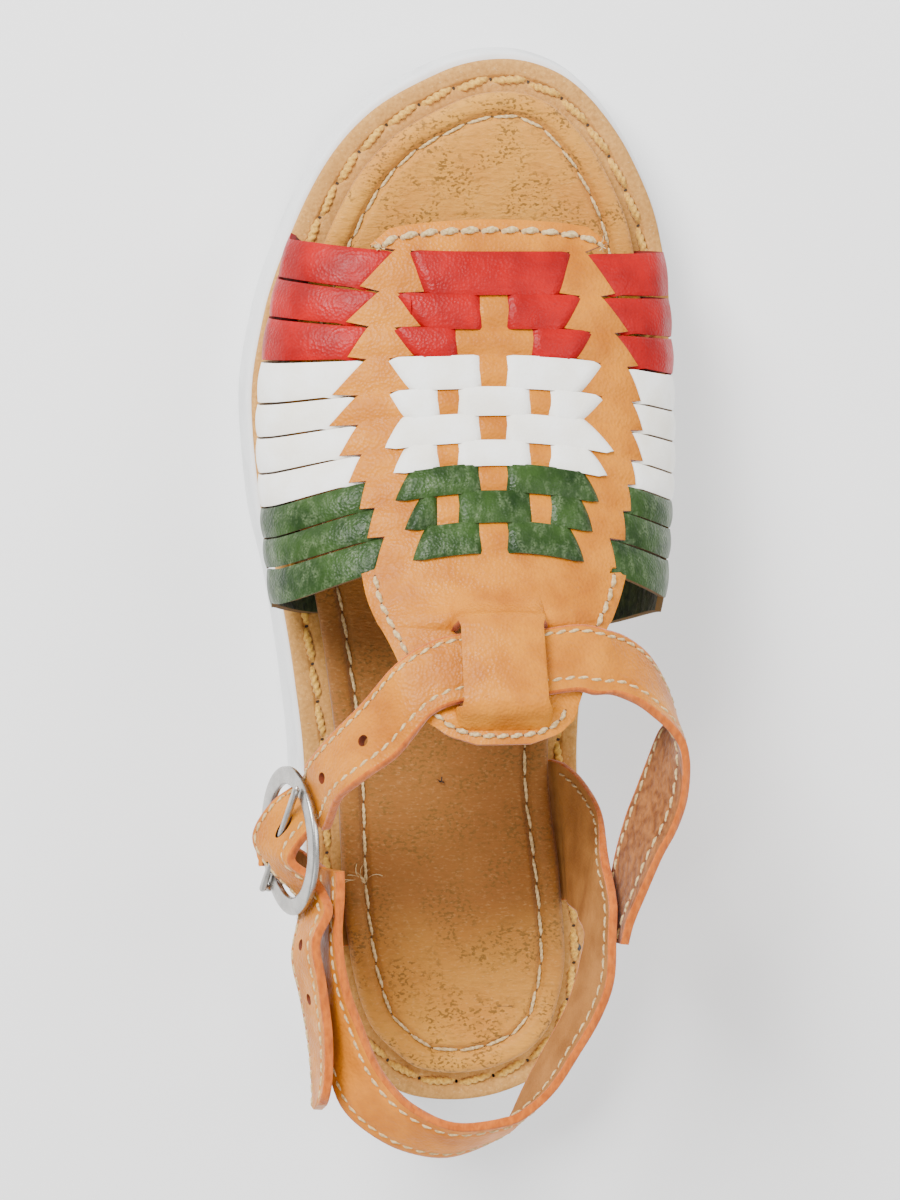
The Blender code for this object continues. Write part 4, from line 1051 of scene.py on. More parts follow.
def strap_sections(index):
    """Close cross-sections of one strap, outer tuck to inner: two edge points and the way out."""
    def edge_y(line, x, toward):
        share = min(abs(x) / (EVEN_GAP_FROM * BALL_WIDTH), 1.0)
        gap = CENTRE_GAP + (SIDE_GAP - CENTRE_GAP) * share
        return strap_line(line, x) + toward * gap / 2

    def at_side(side, turned):
        pair = []
        sweeps = STRAP_SWEEP.get(index, (0.0, 0.0, 0.0, 0.0))[0 if side < 0 else 1::2]
        for line, toward, sweep in ((index, -1, sweeps[0]), (index + 1, 1, sweeps[1])):
            x = side * 0.5 * BALL_WIDTH
            if turned < 1.0:
                x = form_point(side, turned, edge_y(line, x, toward)).x
            pair.append(form_point(side, turned, edge_y(line, x, toward) - sweep * eased(turned - 1.0)))
        return pair

    def on_top(front_x, rear_x, height):
        bulge = STRAP_BULGE * max(height, 0.0) / WEAVE_RISE
        front = lifted(front_x, edge_y(index, front_x, -1) + bulge, height)
        rear = lifted(rear_x, edge_y(index + 1, rear_x, 1) - bulge, height)
        return [front, rear]

    sections = [at_side(-1, turned) for turned in SIDE_TURNS]
    levels = strap_levels(index)
    for side in (-1, 1):
        start = form_point(side, TOP_FROM, strap_line(index, side * EVEN_GAP_FROM * BALL_WIDTH)).x
        levels.insert(0 if side < 0 else len(levels), (start, start, 0.0))
    for (front_a, rear_a, low), (front_b, rear_b, high) in zip(levels, levels[1:]):
        steps = max(2, int(max(front_b - front_a, rear_b - rear_a) / RAMP_STEP))
        for k in range(steps):
            t = k / steps
            front_x = front_a + (front_b - front_a) * t
            rear_x = rear_a + (rear_b - rear_a) * t
            sections.append(on_top(front_x, rear_x, low + (high - low) * eased(t)))
    sections += [at_side(1, turned) for turned in reversed(SIDE_TURNS)]
    return sections


def woven_straps():
    raw_red = plain("red_cut_edge", (0.19, 0.006, 0.006), 0.8)
    raw_white = plain("white_cut_edge", (0.50, 0.36, 0.22), 0.8)
    raw_green = plain("green_cut_edge", (0.15, 0.085, 0.030), 0.9)
    dyes = {
        "red": (
            grained("red_dye", RED, RED_DEEP, 0.40),
            suede("red_flesh", (0.25, 0.03, 0.02), (0.1, 0.01, 0.01)), raw_red),
        "white": (
            grained("white_dye", WHITE, WHITE_WORN, 0.50, depth=0.00005),
            suede("white_flesh", (0.6, 0.5, 0.38), (0.4, 0.3, 0.2)), raw_white),
        "green": (
            grained("green_dye", GREEN, GREEN_DEEP, 0.36, worn=GREEN_SCUFFED),
            suede("green_flesh", (0.045, 0.065, 0.02), (0.012, 0.02, 0.006)), raw_green),
    }
    for index, colour in enumerate(STRAP_COLOURS):
        sections = strap_sections(index)
        count = len(sections) - 1

        def place(u, v):
            k = round(u * count)
            front, rear = sections[k]
            crown = STRAP_CROWN * (1.0 - (2.0 * v - 1.0) ** 2)
            run = sections[min(k + 1, count)][0] - sections[max(k - 1, 0)][0]
            return rear.lerp(front, v) + run.cross(front - rear).normalized() * crown

        strap = laid(f"woven_strap_{index}", count, STRAP_GRID, place)
        walled(strap, STRAP_THICKNESS, dyes[colour], soft=0.00034)
        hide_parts("woven_upper")
        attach(strap, "root")


tan_leather = grained("tan_leather", TAN, TAN_DARK, 0.40, grain=0.0008, depth=0.00016)
tan_flesh = suede("tan_flesh", (0.36, 0.16, 0.055), (0.22, 0.085, 0.026))
raw_edge = suede("raw_edge", RAW_ORANGE, (0.40, 0.085, 0.006))


def plate_front(x):
    front, bow, middle, reach = PLATE_FRONT
    share = abs(x / BALL_WIDTH - middle) / reach
    return to_y(front - bow * share ** 2 - PLATE_CORNER * max(share - CORNER_FROM, 0.0) ** 2)


def between(a, b, c, d, t):
    """The smooth curve from b to c at a share t, bent by its neighbours a and d."""
    return b + 0.5 * t * (c - a + t * (2 * a - 5 * b + 4 * c - d + t * (3 * (b - c) + d - a)))


def spline(rows, share):
    """A smooth curve through rows of numbers, with the share counted in rows."""
    last = len(rows) - 1
    i = min(max(int(share), 0), last - 1)
    four = (rows[max(i - 1, 0)], rows[i], rows[i + 1], rows[min(i + 2, last)])
    return [between(*values, share - i) for values in zip(*four)]


def plate_rows():
    """Rows across the plate, front to rear: 12 places across, along and up, what the cells behind
    the row are, and the steps to the next row."""
    rise = BAND_THICKNESS + 2 * SLOT_CLEARANCE + GAP + PLATE_THICKNESS
    columns = CELLS + 1
    inner_columns = range(columns // 2)
    last = columns // 2 - 1
    flat = [0.0] * columns

    def weave_row(slits, line, wide=False):
        outer, left, right, inner = [slit * BALL_WIDTH for slit in slits]
        middles = upright_edges(strap_line(line, RIDGE_OFFSET))
        if wide:
            left_side, right_side = crossings(2)[0]
            middles = [left_side + (right_side - left_side) * k / last for k in inner_columns]
        xs = [outer, (outer + left) / 2, left] + middles + [right, (right + inner) / 2, inner]
        return xs, [strap_line(line, x) for x in xs]

    first = SLITS[0]
    outer_end, inner_end = PLATE_FRONT_ENDS
    xs, _ = weave_row((outer_end, first[2], first[4], inner_end), 0)
    rows = [(xs, [plate_front(x) for x in xs], flat, "whole", 6)]
    for i, slits in enumerate(SLITS):
        wide = DIPS[i] == (0, 1, 2)
        xs, ys = weave_row(slits[0::2], i, wide)
        rows.append((xs, ys, flat, f"strap {i}", 8))
        xs, ys = weave_row(slits[1::2], i + 1, wide)
        rows.append((xs, [y + TOOTH_OVERLAP for y in ys], flat, f"between {i}", 1))
    rows[-1] = (*rows[-1][:3], "whole", 5)
    half = SLOT_WIDTH / 2
    for along, outer, inner, raised, slotted in TAB_ROWS:
        low = outer * BALL_WIDTH
        high = inner * BALL_WIDTH
        left = max(SLOT_PLACES[0] * BALL_WIDTH, low + TAB_MARGIN * BALL_WIDTH)
        right = min(SLOT_PLACES[1] * BALL_WIDTH, high - TAB_MARGIN * BALL_WIDTH)
        inside = [left + half + (right - left - SLOT_WIDTH) * k / last for k in inner_columns]
        xs = [low, (low + left - half) / 2, left - half] + inside
        xs += [right + half, (right + half + high) / 2, high]
        near = (TAB_SWELL if raised < 1.0 else 0.0) * raised * rise
        crown = [raised * (rise + BRIDGE_CROWN * math.sin(math.pi * k / last)) for k in inner_columns]
        lifts = [0.1 * near, 0.4 * near, near] + crown + [near, 0.4 * near, 0.1 * near]
        rows.append((xs, [to_y(along)] * columns, lifts, "slotted" if slotted else "whole", 5))
    return rows


def filled(kind, cell):
    """Whether the plate has leather in a cell: slits, and gaps between uprights, are open."""
    if kind == "whole":
        return True
    index = -1 if kind == "slotted" else int(kind.split()[1])
    if index in (-1, 2):
        return cell not in SLIT_CELLS
    if index < 2 and cell in OPEN_UPRIGHTS:
        return False
    return cell not in OPEN_CELLS


def pucker(kind, cell, v):
    """How far a strap lifts the plate it goes under, or presses down the plate it goes over."""
    if not kind.startswith("strap"):
        return 0.0
    bow = math.sin(math.pi * v)
    if cell in MARGIN_CELLS:
        return EDGE_PUCKER * bow
    over = (cell - 3) / 2 in DIPS[int(kind.split()[1])] or kind == "strap 2"
    return OVER_PUCKER * bow if over else -UNDER_PUCKER * bow


def plate():
    rows = plate_rows()
    last = len(rows) - 1
    tab_start = len(rows) - len(TAB_ROWS)
    points = {}
    faces = []

    def read(r, part, column, v):
        """One number of a place between rows r and r + 1, smooth on the tab and straight before."""
        if tab_start <= r < last - 1:
            four = [rows[min(max(k, tab_start), last)][part][column] for k in range(r - 1, r + 3)]
            return between(*four, v)
        return rows[r][part][column] * (1 - v) + rows[r + 1][part][column] * v

    def corner(r, s, c, q):
        """The fine point at step s behind row r, and step q from column c."""
        _, _, _, kind, steps = rows[r]
        key = (r + 1, 0, c * CELL_STEPS + q) if s == steps else (r, s, c * CELL_STEPS + q)
        if key not in points:
            v = s / steps
            spot = []
            for part in range(3):
                here, beside = (read(r, part, column, v) for column in (c, min(c + 1, CELLS)))
                spot.append(here + (beside - here) * q / CELL_STEPS)
            x, y, height = spot
            points[key] = (len(points), lifted(x, y, height + pucker(kind, c, v)))
        return points[key][0]

    for r in range(last):
        for s in range(rows[r][4]):
            for c in range(CELLS):
                if not filled(rows[r][3], c):
                    continue
                for q in range(CELL_STEPS):
                    around = ((s, q), (s + 1, q), (s + 1, q + 1), (s, q + 1))
                    faces.append(tuple(corner(r, down, c, across) for down, across in around))
    piece = built("vamp_plate", [point for _, point in points.values()], faces)
    bpy.ops.object.select_all(action="DESELECT")
    walled(piece, PLATE_THICKNESS, (tan_leather, tan_flesh, raw_edge), soft=0.00030, even=False)
    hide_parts("woven_upper")
    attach(piece, "root")
    return piece


def dropped(piece, places):
    """Points on a piece straight below places seen from above, and the surface's ways up there."""
    corners = [vertex.co for vertex in piece.data.vertices]
    surface = BVHTree.FromPolygons(corners, [face.vertices for face in piece.data.polygons])
    points = []
    ups = []
    for x, y in places:
        hit, normal, _, _ = surface.ray_cast(Vector((x, y, 0.2)), Vector((0.0, 0.0, -1.0)))
        if hit and normal.z > 0.2:
            points.append(hit)
            ups.append(normal)
    return points, ups


def along_inset(line, inset):
    """Places along a line of places, smoothed, moved to its left by an inset."""
    count = (len(line) - 1) * INSET_STEPS
    fine = [Vector((*spline(line, k / INSET_STEPS), 0.0)) for k in range(count + 1)]
    places = []
    for k, point in enumerate(fine):
        run = fine[min(k + 1, count)] - fine[max(k - 1, 0)]
        left = Vector((-run.y, run.x, 0.0)).normalized()
        places.append((point.x + left.x * inset, point.y + left.y * inset))
    return places


def plate_seams(piece):
    """Plump pale stitches along the plate's front, and down its sides round the tab."""
    outer_end, inner_end = (end * BALL_WIDTH for end in PLATE_FRONT_ENDS)
    front = []
    for k in range(61):
        x = outer_end + FRONT_MARGIN + (inner_end - outer_end - 2 * FRONT_MARGIN) * k / 60
        front.append((x, plate_front(x) - FRONT_SEAM_INSET))
    down = [(row[1] * BALL_WIDTH, to_y(row[0])) for row in TAB_ROWS]
    back_up = [(row[2] * BALL_WIDTH, to_y(row[0])) for row in reversed(TAB_ROWS)]
    round_tab = along_inset(down + back_up, TAB_SEAM_INSET)
    lines = [front]
    lines.append([place for place in round_tab if place[1] > to_y(0.462) and place[0] < 0.0])
    lines.append([place for place in round_tab if place[1] < to_y(0.4135)])
    lines.append([place for place in round_tab if place[1] > to_y(0.483) and place[0] > 0.0])
    for index, line in enumerate(lines):
        thread, pitch = (PLATE_THREAD, PLATE_PITCH) if index else (FRONT_THREAD, FRONT_PITCH)
        points, ups = dropped(piece, line)
        seam = sewn(f"plate_seam_{index}", walked(points, ups, pitch, cover=0.96), thread,
                    [pale_thread, needle_hole_shade], turns=1.9, lean=0.16, proud=0.30,
                    rings=15, sides=10, seed=20 + index)
        if not index:
            first = (points[0], (points[0] - points[8]).normalized(), ups[0])
            last = (points[-1], (points[-1] - points[-9]).normalized(), ups[-1])
            frayed("front_seam_ends", [first, last], pale_thread, fibres=10, reach=0.0028)


woven_straps()
plate_seams(plate())

# Ankle strap: one long strip of tan leather, edge-stitched in pale thread, fixed inside the inner
# quarter, drawn through the tab's slits and over the instep, and buckled on the outer side. Its
# section is swept along rows of edge points, then the holes are punched through it.
RING_ALONG = 0.0350
RING_ACROSS = 0.0320
RING_RIM = 0.0042
RING_THICKNESS = 0.0020
RING_TILT = 18.0
RING_PLACE = (-0.434, 0.277, 0.437)
HOLE_DIAMETER = 0.0027
PRONG_DIAMETER = 0.0017
TUCK_GAP = 0.0004
EDGE_THREAD = 0.0008
EDGE_PITCH = 0.0032
STRAP_SEAMS = (0.0016, 0.0031)
INSIDE_THREAD = 0.0007
INSIDE_END = 12.5
SEAM_START = 0.2
STRIP_STEPS = 8
STRIP_GROOVE = 0.00022
GROOVE_SPAN = 0.0018
STRIP_CROWN = 0.0003
CROWN_REACH = 0.004
RAGGED = 0.00012
RAGGED_PITCH = 0.006
SECOND_PHASE = 0.37
END_TAPER = 0.70
SOFT_SHARE = 0.25
SAME_CORNER = 0.0000005
PUNCHED_RED = (0.22, 0.045, 0.015)
STRAP_INNER = (
    # front: across, along, up; rear: across, along, up
    (0.292, 0.183, 0.530, 0.316, 0.188, 0.760),
    (0.299, 0.204, 0.538, 0.328, 0.209, 0.783),
    (0.308, 0.229, 0.560, 0.352, 0.234, 0.795),
    (0.322, 0.267, 0.600, 0.390, 0.272, 0.810),
    (0.343, 0.300, 0.602, 0.422, 0.292, 0.813),
    (0.371, 0.330, 0.604, 0.444, 0.312, 0.815),
    (0.394, 0.355, 0.610, 0.454, 0.336, 0.830),
    (0.418, 0.377, 0.613, 0.454, 0.358, 0.848),
    (0.439, 0.390, 0.620, 0.441, 0.377, 0.870),
    (0.434, 0.407, 0.648, 0.412, 0.393, 0.892),
    (0.411, 0.430, 0.692, 0.375, 0.406, 0.910),
    (0.370, 0.455, 0.748, 0.333, 0.418, 0.927),
    (0.319, 0.472, 0.800, 0.280, 0.426, 0.943),
    (0.265, 0.480, 0.868, 0.235, 0.428, 0.955),
)
STRAP_ON_TAB = (
    # front: across, along; rear: across, along
    (0.201, 0.4830, 0.181, 0.4230),
    (0.116, 0.4830, 0.098, 0.4180),
    (0.025, 0.4800, 0.016, 0.4170),
    (-0.075, 0.4775, -0.065, 0.4160),
    (-0.144, 0.4670, -0.123, 0.4090),
    (-0.208, 0.4450, -0.166, 0.3950),
)
STRAP_OUTER = (
    # front: across, along, up; rear: across, along, up
    (-0.281, 0.418, 0.820, -0.224, 0.373, 0.950),
    (-0.345, 0.386, 0.725, -0.289, 0.353, 0.907),
    (-0.396, 0.355, 0.610, -0.341, 0.332, 0.808),
)
STRAP_AT_RING = (
    # front: toe, up, out; rear: toe, up, out
    (0.470, 0.100, -0.086, 0.150, 0.420, -0.088),
    (0.365, -0.020, -0.076, 0.145, 0.345, -0.086),
    (0.225, -0.150, 0.066, 0.130, 0.262, -0.060),
    (-0.014, -0.303, 0.128, -0.100, 0.126, 0.046),
    (-0.225, -0.205, 0.040, -0.225, 0.225, -0.066),
    (-0.365, -0.100, -0.082, -0.320, 0.345, -0.092),
    (-0.500, -0.006, -0.080, -0.420, 0.434, -0.088),
)
STRAP_TAIL = (
    # front: across, along, up; rear: across, along, up
    (-0.426, 0.168, 0.434, -0.388, 0.192, 0.660),
    (-0.407, 0.131, 0.444, -0.376, 0.154, 0.664),
    (-0.389, 0.089, 0.442, -0.363, 0.107, 0.668),
    (-0.380, 0.044, 0.443, -0.362, 0.069, 0.672),
    (-0.380, 0.020, 0.444, -0.371, 0.042, 0.672),
)
HOLE_PLACES = (20.45, 21.9, 29.9, 31.2)
PRONG_ROOT = (-0.311, -0.283)
PRONG_TIP = (0.411, 0.274)


def band_row(row):
    """Two edge points from shares of the sole and the instep."""
    points = []
    for across, along, up in (row[:3], row[3:6]):
        y = to_y(along)
        points.append(Vector((across * BALL_WIDTH, y, deck(y) + up * INSTEP_HEIGHT)))
    return points


def sized_row(ends, width, thickness):
    """The row's two edges set apart by a width about their middle, with the thickness."""
    middle = (ends[0] + ends[1]) / 2
    half = (ends[0] - ends[1]).normalized() * width / 2
    return [*(middle + half), *(middle - half), thickness]


def on_ring(toe_share, up_share, out_share):
    """A point in the buckle's own axes, in shares of its length."""
    tilt = math.radians(RING_TILT)
    toe = Vector((0.0, 1.0, 0.0))
    up = Vector((math.sin(tilt), 0.0, math.cos(tilt)))
    out = Vector((-math.cos(tilt), 0.0, math.sin(tilt)))
    y = to_y(RING_PLACE[1])
    middle = Vector((RING_PLACE[0] * BALL_WIDTH, y, deck(y) + RING_PLACE[2] * INSTEP_HEIGHT))
    return middle + (toe * toe_share + up * up_share + out * out_share) * RING_ALONG


def strap_rows():
    above_form = PLATE_THICKNESS + SLOT_CLEARANCE + BAND_THICKNESS / 2
    pairs = [band_row(row) for row in STRAP_INNER]
    for front_x, front, rear_x, rear in STRAP_ON_TAB:
        ahead = lifted(front_x * BALL_WIDTH, to_y(front), above_form)
        behind = lifted(rear_x * BALL_WIDTH, to_y(rear), above_form)
        pairs.append((ahead, behind))
    pairs += [band_row(row) for row in STRAP_OUTER]
    pairs += [(on_ring(*row[:3]), on_ring(*row[3:])) for row in STRAP_AT_RING]
    pairs += [band_row(row) for row in STRAP_TAIL]
    return [sized_row(pair, BAND_WIDTH, BAND_THICKNESS) for pair in pairs]


def strip_station(rows, share):
    """Middle, way across to the second edge, way out of the grain, and thickness at a share."""
    last = len(rows) - 1
    here = spline(rows, share)
    before = spline(rows, max(share - 0.1, 0.0))
    after = spline(rows, min(share + 0.1, last))
    middle = (Vector(here[0:3]) + Vector(here[3:6])) / 2
    run = Vector(after[0:3]) + Vector(after[3:6]) - Vector(before[0:3]) - Vector(before[3:6])
    across = Vector(here[3:6]) - Vector(here[0:3])
    return middle, across, run.cross(across).normalized(), here[6]


def strip_height(inset_first, inset_second, seams):
    """Height of a strip's grain over its flat: crowned, and pressed down along its seams."""
    height = STRIP_CROWN * min(1.0, min(inset_first, inset_second) / CROWN_REACH) - STRIP_CROWN
    for inset, seam in ((inset_first, seams[0]), (inset_second, seams[1])):
        height -= STRIP_GROOVE * dip(inset, seam, GROOVE_SPAN)
    return height


def welded():
    """Weld the open seam of the piece just made, and fill its ends."""
    bpy.ops.object.mode_set(mode="EDIT")
    bpy.ops.mesh.select_all(action="SELECT")
    bpy.ops.mesh.remove_doubles(threshold=SAME_CORNER)
    bpy.ops.mesh.fill_holes(sides=0)
    bpy.ops.object.mode_set(mode="OBJECT")


def strip(name, rows, finishes, seams, rounded_end=0.0, seed=3):
    """A strip of leather swept through rows of edge points, with grain, flesh and raw edges."""
    chance = random.Random(seed)
    count = (len(rows) - 1) * STRIP_STEPS
    stations = [strip_station(rows, k / STRIP_STEPS) for k in range(count + 1)]
    run_on = [0.0]
    for a, b in zip(stations, stations[1:]):
        run_on.append(run_on[-1] + (b[0] - a[0]).length)
    wobble = [chance.uniform(-1.0, 1.0) for _ in range(int(run_on[-1] / RAGGED_PITCH) + 3)]

    def uneven(length, phase):
        place = length / RAGGED_PITCH + phase
        k = int(place) % (len(wobble) - 1)
        return (wobble[k] + (wobble[k + 1] - wobble[k]) * eased(place - int(place))) * RAGGED

    face, edge, back = 30, 6, 10
    around = [("grain", i / face) for i in range(face + 1)]
    around += [("second", (i + 1) / edge) for i in range(edge)]
    around += [("flesh", (i + 1) / back) for i in range(back)]
    around += [("first", (i + 1) / edge) for i in range(edge - 1)]
    around.append(around[0])
    last = len(around) - 1

    def place(u, v):
        k = round(u * count)
        middle, across, out, thickness = stations[k]
        kind, share = around[round(v * last)]
        width = across.length
        side = across.normalized()
        low = -width / 2 + uneven(run_on[k], 0.0)
        high = width / 2 + uneven(run_on[k], SECOND_PHASE)
        if rounded_end and run_on[-1] - run_on[k] < rounded_end:
            near = 1.0 - (run_on[-1] - run_on[k]) / rounded_end
            low *= (1.0 - END_TAPER * near ** 4) ** 0.5
            high *= (1.0 - END_TAPER * near ** 4) ** 0.5
        soft = SOFT_SHARE * thickness
        half = thickness / 2
        if kind == "grain":
            reach = low + soft + (high - low - 2 * soft) * share
            height = half + strip_height(reach - low, high - reach, seams)
            return middle + side * reach + out * height
        if kind == "flesh":
            reach = high - soft - (high - low - 2 * soft) * share
            return middle + side * reach - out * half
        top = half - STRIP_CROWN
        turn = math.cos(math.pi * share)
        reach = math.sin(math.pi * share) ** 0.5 * soft
        level = out * (math.copysign(abs(turn) ** 0.5, turn) * (top + half) / 2 + (top - half) / 2)
        if kind == "second":
            return middle + side * (high - soft + reach) + level
        return middle + side * (low + soft - reach) - level + out * (top - half)

    piece = laid(name, count, last, place)
    for material in finishes:
        piece.data.materials.append(material)
    uv = piece.data.uv_layers.active.data
    ends = (face / last, (face + edge) / last, (face + edge + back) / last)
    for polygon in piece.data.polygons:
        v = sum(uv[i].uv.y for i in polygon.loop_indices) / len(polygon.loop_indices)
        polygon.material_index = 0 if v < ends[0] else 2 if v < ends[1] else 1 if v < ends[2] else 2
    welded()
    bpy.ops.object.shade_smooth_by_angle(angle=math.radians(50))
    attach(piece, "root")
    return piece


def strip_seam(name, rows, inset, from_second, first, last, below=False, thread=EDGE_THREAD, seed=1):
    """A row of stitches along a strip, an inset from one edge, between two shares in rows."""
    points = []
    ups = []
    steps = int((last - first) * 8)
    for k in range(steps + 1):
        middle, across, out, thickness = strip_station(rows, first + (last - first) * k / steps)
        half = across.length / 2
        place = half - inset if from_second else inset - half
        height = -thickness / 2 if below else thickness / 2 - 0.0004
        points.append(middle + across.normalized() * place + out * height)
        ups.append(-out if below else out)
    seam = sewn(name, walked(points, ups, EDGE_PITCH, cover=0.90), thread, [pale_thread, needle_hole_shade],
                turns=1.5, lean=0.16, proud=0.26, rings=11, seed=seed)


def punched(piece, middle, way, radius, length, material):
    """Punch a round hole through a piece; its wall takes the material."""
    bpy.ops.mesh.primitive_cylinder_add(vertices=24, radius=radius, depth=length, location=middle,
                                        rotation=way.to_track_quat("Z", "Y").to_euler())
    cutter = bpy.context.object
    cutter.data.materials.append(material)
    bpy.ops.object.select_all(action="DESELECT")
    piece.select_set(True)
    bpy.context.view_layer.objects.active = piece
    hole = piece.modifiers.new("hole", "BOOLEAN")
    hole.object = cutter
    hole.operation = "DIFFERENCE"
    hole.solver = "EXACT"
    hole.material_mode = "TRANSFER"
    bpy.ops.object.modifier_apply(modifier=hole.name)
    bpy.data.objects.remove(cutter)


def prong_points():
    """The prong's line: hooked round the ring's rear rim, then straight to its tip."""
    root = Vector((*PRONG_ROOT, 0.0)) * RING_ALONG
    tip = Vector((*PRONG_TIP, 0.0)) * RING_ALONG
    outward = root.normalized()
    reach = RING_RIM / 2 + GAP + PRONG_DIAMETER / 2
    rise = RING_THICKNESS / 2 + GAP + PRONG_DIAMETER / 2
    out = Vector((0.0, 0.0, 1.0))
    points = []
    for degrees in range(-105, 91, 39):
        angle = math.radians(degrees)
        points.append(root + outward * reach * math.cos(angle) + out * rise * math.sin(angle))
    points.append(tip + out * rise)
    return [on_ring(*(point / RING_ALONG)) for point in points]


def ankle_strap():
    rows = strap_rows()
    strap = strip("ankle_strap_leather", rows, (tan_leather, strap_suede, raw_edge), STRAP_SEAMS,
                  rounded_end=0.0045)
    inside = plain("punched_wall", PUNCHED_RED, 0.85)
    for share in HOLE_PLACES:
        middle, _, out, _ = strip_station(rows, share)
        punched(strap, middle, out, HOLE_DIAMETER / 2, 3 * BAND_THICKNESS, inside)
    start, end = prong_points()[-2:]
    way = end - start
    punched(strap, (start + end) / 2, way, PRONG_DIAMETER / 2 + TUCK_GAP, way.length, inside)
    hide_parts("ankle_strap")
    last = len(rows) - 1.15
    strip_seam("strap_front_seam", rows, STRAP_SEAMS[0], False, SEAM_START, last)
    strip_seam("strap_rear_seam", rows, STRAP_SEAMS[1], True, SEAM_START, last, seed=2)
    strip_seam("strap_front_seam_inside", rows, STRAP_SEAMS[0], False, SEAM_START, INSIDE_END,
               below=True, thread=INSIDE_THREAD, seed=3)
    strip_seam("strap_rear_seam_inside", rows, STRAP_SEAMS[1], True, SEAM_START, INSIDE_END,
               below=True, thread=INSIDE_THREAD, seed=4)


strap_suede = suede("strap_suede", (0.34, 0.120, 0.026), (0.15, 0.042, 0.007))
ankle_strap()

# Heel band and quarters: a lined inner quarter glued under the footbed rises into a band round the
# heel, and a short outer leg stands below the buckle. Reddish tan leather with raw edges, stitched
# in pale thread, swept in the same way as the strap.
QUARTER_THINNING = 0.62
INNER_QUARTER = (0.332, 0.196)
OUTER_QUARTER = (0.218, 0.156)
TUCK_ROWS = ((-1.0, 0.0), (-0.6, 0.0), (-0.2, 0.0), (0.2, 0.02), (0.42, 0.14))
HEEL_SEAMS = (0.0026, 0.0026)
TAB_WIDTH = 0.0080
TAB_THICKNESS = 0.0015
TAB_SEAMS = (0.0015, 0.0015)
LINING_THREAD = 0.0006
REDDISH_TAN = (0.68, 0.225, 0.014)
REDDISH_DARK = (0.50, 0.140, 0.008)
LINING_PALE = (0.40, 0.170, 0.042)
LINING_SHADE = (0.26, 0.100, 0.024)
HEEL_ROWS = (
    # top: across, along, up; bottom: across, along, up; width
    (0.284, 0.262, 0.600, 0.255, 0.196, 0.400, 1.40),
    (0.292, 0.228, 0.740, 0.254, 0.192, 0.500, 1.15),
    (0.288, 0.196, 0.782, 0.252, 0.182, 0.537, 1.00),
    (0.285, 0.158, 0.777, 0.234, 0.149, 0.538, 1.00),
    (0.257, 0.123, 0.768, 0.206, 0.114, 0.530, 1.00),
    (0.203, 0.085, 0.759, 0.152, 0.073, 0.523, 1.00),
    (0.156, 0.055, 0.750, 0.110, 0.040, 0.510, 1.00),
    (0.101, 0.034, 0.742, 0.082, 0.013, 0.500, 1.00),
    (0.044, 0.023, 0.742, 0.055, -0.002, 0.506, 1.00),
    (-0.074, 0.020, 0.734, -0.079, -0.020, 0.530, 1.00),
    (-0.172, 0.039, 0.718, -0.214, -0.006, 0.543, 1.00),
    (-0.245, 0.072, 0.694, -0.323, 0.032, 0.540, 1.00),
    (-0.300, 0.124, 0.671, -0.356, 0.090, 0.472, 1.00),
    (-0.326, 0.160, 0.655, -0.363, 0.131, 0.430, 1.00),
    (-0.335, 0.196, 0.640, -0.366, 0.172, 0.400, 1.00),
    (-0.329, 0.231, 0.622, -0.356, 0.217, 0.370, 1.00),
    (-0.329, 0.255, 0.610, -0.355, 0.247, 0.360, 1.00),
)
INNER_QUARTER_ROWS = (
    # front: across, along, up; rear: across, along, up; width
    (0.240, 0.330, 0.120, 0.249, 0.197, 0.110, 2.10),
    (0.268, 0.318, 0.240, 0.252, 0.198, 0.190, 1.95),
    (0.290, 0.297, 0.440, 0.255, 0.198, 0.290, 1.70),
)
OUTER_QUARTER_ROWS = (
    # front: across, along, up; rear: across, along, up; width
    (-0.322, 0.226, 0.150, -0.330, 0.163, 0.190, 1.00),
    (-0.348, 0.238, 0.330, -0.348, 0.180, 0.390, 1.00),
    (-0.350, 0.244, 0.430, -0.350, 0.190, 0.500, 1.00),
)
TAB_ROWS_AT_RING = (
    # toe, up, out
    (-0.303, 0.043, -0.243),
    (-0.274, -0.129, -0.234),
    (-0.217, -0.300, -0.183),
    (-0.160, -0.446, -0.100),
    (-0.140, -0.483, -0.014),
    (-0.131, -0.455, 0.040),
)


def tuck_rows(side, places):
    """Rows of a quarter's lower end, from the end of its tuck to the footbed's edge."""
    thickness = STRAP_THICKNESS - 2 * (TUCK_GAP - GAP)
    rows = []
    for share, rise in TUCK_ROWS:
        ends = []
        for along in places:
            y = to_y(along)
            x = footbed_edge(side, y) + side * share * TUCK_DEPTH
            ends.append(Vector((x, y, deck(y) + TUCK_GAP + thickness / 2 + rise * BAND_WIDTH)))
        rows.append([*ends[0], *ends[1], thickness])
    return rows


def turned_over(rows):
    return [row[3:6] + row[0:3] + row[6:] for row in rows]


